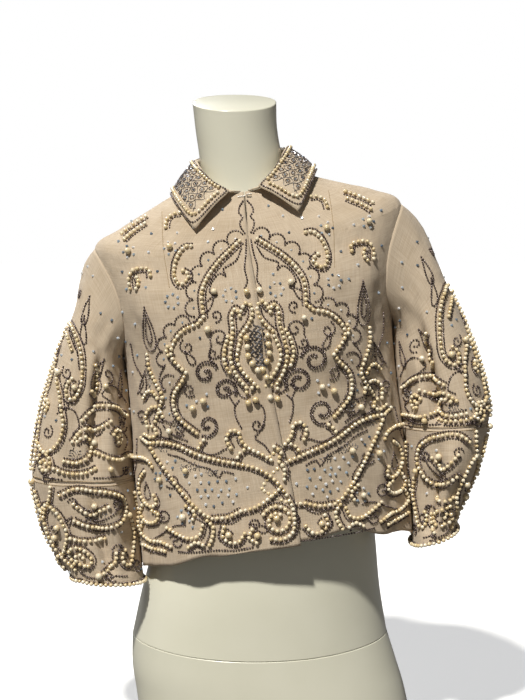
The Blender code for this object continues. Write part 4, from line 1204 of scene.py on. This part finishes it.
def grid_place(grid, rows, row, columns, turn):
    """A point of a grid between its rows and columns."""
    r = np.interp(row, rows, np.arange(len(rows)))
    c = np.interp(turn, columns, np.arange(len(columns)))
    r0 = np.minimum(r.astype(int), len(rows) - 2)
    c0 = np.minimum(c.astype(int), len(columns) - 2)
    a, b = (r - r0)[..., None], (c - c0)[..., None]
    top = grid[r0, c0] * (1 - b) + grid[r0, c0 + 1] * b
    low = grid[r0 + 1, c0] * (1 - b) + grid[r0 + 1, c0 + 1] * b
    return top * (1 - a) + low * a


def sleeve_point(which, angle, row):
    _, _, rows, lower_rows, angles = sleeves[which]
    grid = np.concatenate((grids[f"sleeve_{which}_upper"], grids[f"sleeve_{which}_lower"]))
    places = np.concatenate((rows, lower_rows + 0.001))
    turn = np.asarray(angle) % 360
    return grid_place(grid, places, np.asarray(row), np.append(angles, 360), turn)


def on_sleeve(which, line):
    points = to_world(sleeve_point(which, line[:, 0], line[:, 1]))
    return nearest("sleeve_" + which, points)


def local(which, angle, row, flat):
    """A small flat motif round a place of a sleeve, from millimetres to degrees and rows."""
    a, b = sleeve_point(which, np.array((angle - 4, angle + 4)), np.array((row, row)))
    c, d = sleeve_point(which, np.array((angle, angle)), np.array((row - 0.2, row + 0.2)))
    round_step = np.linalg.norm(b - a) / 8
    down_step = np.linalg.norm(d - c) / 0.4
    return np.stack((angle + flat[:, 0] / round_step, row + flat[:, 1] / down_step), -1)


def collar_place(line):
    points = grid_place(grids["collar"], COLLAR_PLACES, line[:, 1], COLLAR_SHARES, line[:, 0])
    return nearest("collar", to_world(points))


# %% [markdown]
# ## Sewing
#
# Beads are sewn one kind at a time. Each kind is one small shape, made once with an operator,
# and its points are then repeated in an array at every place, so that thousands of beads
# become one joined mesh for each panel. Real strings of pearls have a line of dark beads
# close beside them, so a row of pearls can bring its own.

# %% Sizes of the beads and helpers that sew them
LARGE_RADIUS, STONE_RADIUS, SHELL_STONE, TUBE_RADIUS = 4.2, 2.1, 1.6, 0.55
SEED_RADIUS, SEED_LENGTH = 1.3, 1.25
# beads that are sewn in rows: radius, spacing, and the share of the radius that sinks in
ROWS = {"pearls": (2.65, 6.1, 0.1), "seeds": (SEED_RADIUS, 3.55, 0.2), "stitches": (0.45, 2.9, 0.6)}
# how far a dark line lies beside its pearls, and how far it may part from the cloth
BESIDE, OFF_CLOTH = 4.8, 1.5
sewn = {}
random = np.random.default_rng(11)


def sew(kind, piece, places, facing, radius, sink=0.1, along=None):
    """Keeps a place, a facing, a direction and a size for each bead of a kind on a piece."""
    if kind == "pearls" and (kind, piece) in sewn:
        there = np.concatenate(sewn[kind, piece])
        gaps = np.linalg.norm(places[:, None] - there[None, :, :3], axis=2)
        free = (gaps - there[None, :, 9] * 0.8).min(axis=1) > 0.8 * radius * MM
        places, facing = places[free], facing[free]
    if len(places) == 0:
        return
    lifted = places + facing * radius * (1 - sink) * MM
    if along is None:
        along = random.normal(size=places.shape)
    uneven = 1 + 0.05 * random.normal(size=(len(places), 1))
    sizes = np.full((len(places), 1), radius * MM) * uneven
    sewn.setdefault((kind, piece), []).append(np.hstack((lifted, facing, along, sizes)))


def sew_row(kind, piece, line, radius=None):
    """A row of one kind of bead. Its spacing follows the radius."""
    usual, spacing, sink = ROWS[kind]
    radius = radius or usual
    if len(line[0]) < 2:
        return
    places, facing = walked(line[0], spacing * radius / usual * MM, line[1])
    along = None if kind == "pearls" else np.gradient(places, axis=0)
    sew(kind, piece, places, unit(facing), radius, sink, along)


def seed_row(piece, line, radius=None):
    sew_row("seeds", piece, line, radius)


def beside(piece, line, offset):
    points, facing = line
    if len(points) < 2:
        return line
    wanted = points + unit(np.cross(facing, np.gradient(points, axis=0))) * offset * MM
    places, facing = nearest(piece, wanted)
    kept = np.linalg.norm(places - wanted, axis=1) < OFF_CLOTH * MM
    return places[kept], facing[kept]


def pearl_row(piece, line, sides=(1,), radius=None):
    sew_row("pearls", piece, line, radius)
    for side in sides:
        seed_row(piece, beside(piece, line, side * BESIDE))


def stones(piece, line, radius=STONE_RADIUS):
    sew("stones", piece, *line, radius, 0.5)


def large_pearls(piece, line):
    sew("pearls", piece, *line, LARGE_RADIUS)


def tubes(piece, line, radius):
    """Silver tubes laid end to end along a line."""
    points, facing = line
    along = points[1:] - points[:-1]
    sew("bugles", piece, between(points), facing[1:], radius, 0.1, along)


def sprinkle(piece, lines, clear):
    """Single stones wherever the cloth is still bare."""
    places, facing = lines
    near = [part[:, :3] for key, parts in sewn.items() if key[1] == piece for part in parts]
    taken = np.concatenate(near)
    free = [np.min(np.linalg.norm(taken - place, axis=1)) > clear * MM for place in places]
    stones(piece, (places[free], facing[free]))


def scattered(low, high, pitch):
    """Places in a loose hexagonal order within a rectangle."""
    found = []
    for index, down in enumerate(np.arange(low[1], high[1], pitch * 0.87)):
        for across in np.arange(low[0] + (index % 2) * pitch / 2, high[0], pitch):
            found.append(np.array((across, down)) + random.uniform(-0.22, 0.22, 2) * pitch)
    return np.array(found)


def field(middle_across, middle_down, wide, high):
    """Loose places within an oval."""
    places = scattered((-wide, -high), (wide, high), FIELD_PITCH)
    inside = (places[:, 0] / wide) ** 2 + (places[:, 1] / high) ** 2 < 1
    return places[inside] + (middle_across, middle_down)


# %% Beading of the fronts and the back
def bead_body(piece, side, lap=False):
    mirror = np.array((side, 1))

    def put(flat):
        return dropped(piece, np.asarray(flat, float) * mirror)

    for table in (*STRANDS.values(), *sum(FRONT_PEARLS.values(), ())):
        pearl_row(piece, put(eased(table)), (side,))
    for name in BOTH_SIDES:
        seed_row(piece, beside(piece, put(eased(STRANDS[name])), -side * BESIDE))
    if lap:
        turn = np.radians(np.linspace(*SPIRAL_ANGLES, 90))
        spiral = around(*SPIRAL_MIDDLE, np.linspace(*SPIRAL_SIZES, 90), turn, squash=-1)
        pearl_row(piece, dropped(piece, spiral))
        for table in LAP_PEARLS:
            pearl_row(piece, put(eased(table)))
        large_pearls(piece, put(LAP_LARGE))
    for values in CURLS:
        line = put(curl(*values))
        seed_row(piece, line)
        if values[2] >= BOLD_CURL:
            seed_row(piece, beside(piece, line, 2 * SEED_RADIUS))
    for table in DARK_LINES:
        seed_row(piece, put(eased(table)))
    for table, radius in SHELLS:
        base = walked(eased(table), 1.9 * radius)[0]
        seed_row(piece, put(shells(base)))
        stones(piece, put(between(base)), SHELL_STONE)
    for values in TEARDROPS:
        seed_row(piece, put(teardrop(*values)))
    large_pearls(piece, put(LARGE_PEARLS))
    for across, down, radius, count in STONE_RINGS:
        turn = np.linspace(0, FULL_TURN, count, endpoint=False)
        stones(piece, put(around(across, down, radius, turn)))
    for zigzag in ZIGZAGS:
        top, bottom = np.array(zigzag, float).reshape(2, 2)
        count = int((bottom[1] - top[1]) / ZIGZAG_PITCH)
        turns = top + (bottom - top) * np.linspace(0, 1, count)[:, None]
        turns[:, 0] += ZIGZAG_WIDTH * (-1) ** np.arange(count)
        line = put(turns)
        if len(line[0]) > 2:
            tubes(piece, line, 1)
    for values in FIELDS:
        sew("bugles", piece, *put(field(*values)), TUBE_RADIUS, 0.1)
    # a row of darker thread beads along each dart: painted shade of the dart's fold
    for table in DART_SHADE_LINES:
        sew_row("stitches", piece, put(eased(table)))
    leaf = scattered(*LEAF_STONES)
    below_top = leaf[:, 1] > 330 - 0.1 * (leaf[:, 0] - 40)
    above_foot = leaf[:, 1] < 420 - 0.85 * (leaf[:, 0] - 60)
    sprinkle(piece, put(leaf[below_top & above_foot]), clear=5)
    sprinkle(piece, put(scattered(*FRONT_STONES)), clear=8)


bead_body("front_right", -1, lap=True)
bead_body("front_left", 1)
bead_body("back", -1)
bead_body("back", 1)

# %% Beading of the sleeves
def bead_sleeve(which):
    piece = "sleeve_" + which
    for table in SLEEVE_STRANDS.values():
        pearl_row(piece, on_sleeve(which, eased(table)))
    for turned in (False, True):
        def put(line):
            line = np.array(line, float)
            if turned:
                line[:, 0] = 360 - line[:, 0]
            return on_sleeve(which, line)

        def motifs(table, drawn):
            for angle, row, *values in table:
                yield put(local(which, angle, row, drawn(0, 0, *values)))

        for name, table in SLEEVE_PEARLS.items():
            pearl_row(piece, put(eased(table)), (1, -1) if name in BOTH_ROUND else (1,))
        for table in SLEEVE_LINES:
            seed_row(piece, put(eased(table)))
        for line in motifs(SLEEVE_PEARL_CURLS, curl):
            pearl_row(piece, line)
        for table, drawn in ((SLEEVE_CURLS, curl), (SLEEVE_TEARDROPS, teardrop)):
            for line in motifs(table, drawn):
                seed_row(piece, line)
        for line in motifs(SLEEVE_FIELDS, field):
            sew("bugles", piece, *line, TUBE_RADIUS, 0.1)
        large_pearls(piece, put(SLEEVE_LARGE))
        loose = scattered(*SLEEVE_STONES) / np.array((1, SLEEVE_ROW))
        sprinkle(piece, put(loose), clear=7)

    def ring(row):
        return on_sleeve(which, np.stack((np.linspace(0, 360, 200), np.full(200, row)), -1))

    for row in STITCHED_ROWS:
        sew_row("stitches", piece, ring(row))
    pearl_row(piece, ring(CUFF_PEARLS), sides=())
    seed_row(piece, ring(CUFF_SEEDS))


bead_sleeve("right")
bead_sleeve("left")

# %% [markdown]
# ### The collar's lattice
#
# The fall of the collar is filled solid: small eyelets of dark beads round a stone, with
# silver bugles and dark beads between, framed by pearls and, outside them, a dark line.

# %% Beading of the collar
LATTICE_TOP, LATTICE_LOW = 4.35, 6.3
CELL_WIDTH, CELL_HEIGHT = 0.058, 0.44
# half the width and half the height of an eyelet, as shares of the collar
EYELET = np.array((0.011, 0.15))
COLLAR_PEARL, COLLAR_TUBE, FINE_SEED, COLLAR_STONE = 2.4, 0.52, 0.8, 1.35
COLLAR_INNER = ((0, 3.95), (0.93, 3.95))
COLLAR_LINES = (
    ((0.985, 3.9), (0.988, 5.3), (0.985, 6.3), (0.965, 6.86), (0.9, 6.9), (0.5, 6.9), (0, 6.9)),
    ((0, 3.5), (0.3, 3.5), (0.6, 3.5), (0.93, 3.5), (0.985, 3.9)),
)


def bead_collar():
    piece = "collar"
    for side in (-1, 1):
        mirror = np.array((side, 1))
        inner = np.linspace(*COLLAR_INNER, 60)
        for line in (eased(COLLAR_STRAND), inner):
            pearl_row(piece, collar_place(line * mirror), sides=(), radius=COLLAR_PEARL)
        for line in COLLAR_LINES:
            seed_row(piece, collar_place(eased(line) * mirror))
        # two families of slanting wavy lines of bugles cross into almond shaped cells
        down = np.linspace(0, LATTICE_LOW - LATTICE_TOP, 40)
        for slant in (-0.5, 0.5):
            for cell in range(-3, 20):
                share = CELL_WIDTH * (cell + slant * down / CELL_HEIGHT) + 0.006 * np.sin(9 * down)
                inside = (share > 0) & (share < 0.935)
                if inside.sum() < 4:
                    continue
                line = np.stack((share, LATTICE_TOP + down), -1)[inside]
                points, facing = collar_place(line * mirror)
                points, facing = walked(points, 3 * MM, facing)
                tubes(piece, (points, unit(facing)), COLLAR_TUBE)
        # an eyelet of fine beads round a stone in each cell
        turn = np.linspace(0, FULL_TURN, 13)
        for row in range(int((LATTICE_LOW - LATTICE_TOP) / CELL_HEIGHT) + 1):
            for cell in range(0, 17):
                across = CELL_WIDTH * (cell + 0.5 + 0.5 * (row % 2))
                if not 0.02 < across < 0.92:
                    continue
                middle = np.array((across, LATTICE_TOP + row * CELL_HEIGHT))
                loop = middle + np.stack((np.cos(turn), np.sin(turn)), -1) * EYELET
                seed_row(piece, collar_place(loop * mirror), FINE_SEED)
                stones(piece, collar_place(middle[None] * mirror), COLLAR_STONE)


bead_collar()


# %% [markdown]
# ### Joined meshes
#
# A ball of eight by six faces is round enough for a pearl of five millimetres, and a twenty
# sided one for a seed bead. Stones are short cones with eight facets, and bugles are tubes.

# %% One mesh for each kind on each panel
# a cut stone, and a tube for everything else: both radii, length and facets
CONES = {"stones": (1, 0.55, 1, 8)}
TUBE = (0.8, 0.8, 5.5, 6)


def bead_base(kind):
    shape = bmesh.new()
    turned = None
    if kind == "pearls":
        bmesh.ops.create_uvsphere(shape, u_segments=8, v_segments=6, radius=1)
    elif kind == "seeds":
        bmesh.ops.create_icosphere(shape, subdivisions=1, radius=1)
        turned = Matrix.Diagonal((SEED_LENGTH, 1, 1, 1))
    else:
        wide, narrow, depth, sides = CONES.get(kind, TUBE)
        sizes = {"segments": sides, "radius1": wide, "radius2": narrow, "depth": depth}
        bmesh.ops.create_cone(shape, cap_ends=True, **sizes)
        if kind not in CONES:
            turned = Matrix.Rotation(math.pi / 2, 4, "Y")
    if turned:
        bmesh.ops.transform(shape, verts=shape.verts, matrix=turned)
    bmesh.ops.triangulate(shape, faces=shape.faces)
    points = np.array([vertex.co for vertex in shape.verts])
    faces = np.array([[vertex.index for vertex in face.verts] for face in shape.faces])
    shape.free()
    return points, faces


def joined(kind, piece, values, material, slot_name):
    points, faces = bead_base(kind)
    places, up, along, sizes = values[:, :3], unit(values[:, 3:6]), values[:, 6:9], values[:, 9:]
    sideways = unit(np.cross(up, along))
    forward = np.cross(sideways, up)
    axes = np.stack((forward, sideways, up), 1)
    corners = places[:, None] + np.einsum("kj,njd->nkd", points, axes) * sizes[:, None]
    numbers = faces[None] + (np.arange(len(places)) * len(points))[:, None, None]
    name = f"{kind}_{piece}"
    mesh = bpy.data.meshes.new(name)
    mesh.from_pydata(corners.reshape(-1, 3), [], numbers.reshape(-1, 3))
    tone = mesh.attributes.new("tone", "FLOAT", "POINT")
    tone.data.foreach_set("value", np.repeat(random.random(len(places)), len(points)))
    made = new_piece(name, mesh, material, slot_name, kind in ("pearls", "seeds"))
    return made, len(mesh.polygons)


BEAD_KINDS = {
    "pearls": (pearl, "pearl"), "seeds": (dark_glass, "pearl"), "stones": (stone_glass_painted_glints, "steel"),
    "bugles": (silver_glass, "steel"), "stitches": (thread_and_dart_shade, "cloth"),
}


def clear_of_pearls(values, piece):
    """Small beads that would lie inside a pearl are left out."""
    there = np.concatenate(sewn["pearls", piece])
    kept = []
    for part in np.array_split(values, len(values) // 400 + 1):
        gaps = np.linalg.norm(part[:, None, :3] - there[None, :, :3], axis=2)
        kept.append(part[(gaps - 0.85 * (part[:, None, 9] + there[None, :, 9])).min(axis=1) > 0])
    return np.concatenate(kept)


bead_pieces = {}
total = 0
for (kind, piece), parts in sewn.items():
    values = np.concatenate(parts)
    if kind != "pearls":
        values = clear_of_pearls(values, piece)
    bead_pieces[kind, piece], triangles = joined(kind, piece, values, *BEAD_KINDS[kind])
    total += triangles
    print(kind, piece, len(values), "beads,", triangles, "triangles")
print("bead triangles:", total)

for which in ("right", "left"):
    names = [f"strand_{key}_{which[0]}" for key in STRANDS]
    if which == "right":
        names.append("strand_spiral_r")
    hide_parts(*names)
    names = [f"strand_{key}_{which[0]}" for key in SLEEVE_STRANDS]
    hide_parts(*names)
names = [f"strand_{key}_{end}" for key in BACK_STRANDS for end in ("br", "bl")]
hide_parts(*names)
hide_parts("strand_collar_r", "strand_collar_l")

# %% [markdown]
# ## Sizes of the cloth
#
# Each panel is a flat piece before it is sewn. Its flat size is the box that it was cut from,
# and its area is the part of that box that the pattern uses. Each area is printed beside the
# area of the drawn grid.

# %% Sheets
SHEETS = {
    "front_right": ((0.29, 0.52), 0.120, "hung"),
    "front_left": ((0.29, 0.52), 0.117, "hung"),
    "back": ((0.56, 0.53), 0.232, "hung"),
    "sleeve_right_upper": ((0.46, 0.30), 0.093, "hung"),
    "sleeve_left_upper": ((0.46, 0.29), 0.088, "hung"),
    "sleeve_right_lower": ((0.46, 0.15), 0.056, "hung"),
    "sleeve_left_lower": ((0.46, 0.15), 0.057, "hung"),
    "collar": ((0.50, 0.11), 0.035, "folded"),
}


def cloth_area(grid):
    across = np.diff(grid, axis=1)[:-1] * MM
    down = np.diff(grid, axis=0)[:, :-1] * MM
    return float(np.linalg.norm(np.cross(across, down), axis=2).sum())


for name, (flat, area, held) in SHEETS.items():
    print(name, "declared", area, "drawn", round(cloth_area(grids[name]), 4))

# %% [markdown]
# ## Floor, light and camera
#
# A wide pale floor in a pale room. One lamp stands high on the left and in front, far enough
# away that its light falls evenly, and a weaker one stands behind. Black flags would keep the
# bounce of a white studio off the garment, and here the room and the floor give less light
# than they show. The camera stands a little under two metres away, just above the middle of
# the form, and looks slightly down.

# %% Stage
FLOOR_SIZE = 60
ROOM_LIGHT = 0.11
ground = bmesh.new()
bmesh.ops.create_grid(ground, x_segments=1, y_segments=1, size=FLOOR_SIZE)
floor = shown("floor", mesh_of("floor", ground))
paint, tree, shader = finish_material("matt_white_paint", Roughness=0.95)
seen = node(tree, "LightPath").outputs["Is Camera Ray"]
tree.links.new(ramp(tree, seen, ((0, "#666564"), (1, "#F4F3F1"))), shader.inputs["Base Color"])
glow = node(tree, "MapRange", {"To Max": 0.22}, Value=seen).outputs[0]
tree.links.new(glow, shader.inputs["Emission Strength"])
shader.inputs["Emission Color"].default_value = linear("#FFFFFF")
floor.data.materials.append(paint)
floor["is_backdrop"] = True

world = bpy.data.worlds.new("studio")
bpy.context.scene.world = world
world.use_nodes = True
tree = world.node_tree
room = tree.nodes["Background"]
room.inputs["Color"].default_value = linear("#FFFFFF")
seen = node(tree, "LightPath").outputs["Is Camera Ray"]
tree.links.new(
    node(tree, "MapRange", {"To Min": ROOM_LIGHT, "To Max": 1}, Value=seen).outputs[0],
    room.inputs["Strength"],
)
bpy.context.scene.view_settings.view_transform = "Standard"

# each lamp: height and side in degrees, power, spread in degrees, colour
LAMPS = {"key": (54, 25, 3.95, 3.5, "#FFFCF6"), "back": (38, 155, 1.9, 24, "#F7FAFF")}
for name, (height, side, power, spread, code) in LAMPS.items():
    lamp = bpy.data.lights.new(name, "SUN")
    lamp.energy = power
    lamp.angle = math.radians(spread)
    lamp.color = linear(code)[:3]
    shown(name, lamp).rotation_euler = (math.radians(90 - height), 0, math.radians(-side))

CAMERA_AIM = Vector((0.002, 0.0095, 0.513))
CAMERA_AWAY, CAMERA_RISE = 1.9, math.radians(4)
FOCAL_LENGTH, SENSOR = 73.47, 36
lens = bpy.data.cameras.new("camera")
lens.lens, lens.sensor_width, lens.sensor_fit = FOCAL_LENGTH, SENSOR, "AUTO"
camera = shown("camera", lens)
toward = Vector((0, -math.cos(CAMERA_RISE), math.sin(CAMERA_RISE)))
camera.location = CAMERA_AIM + CAMERA_AWAY * toward
camera.rotation_euler = (math.radians(90) - CAMERA_RISE, 0, 0)
bpy.context.scene.camera = camera

low_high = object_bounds()
[[list(map(float, corner)) for corner in box] for box in (cad_box, low_high)]
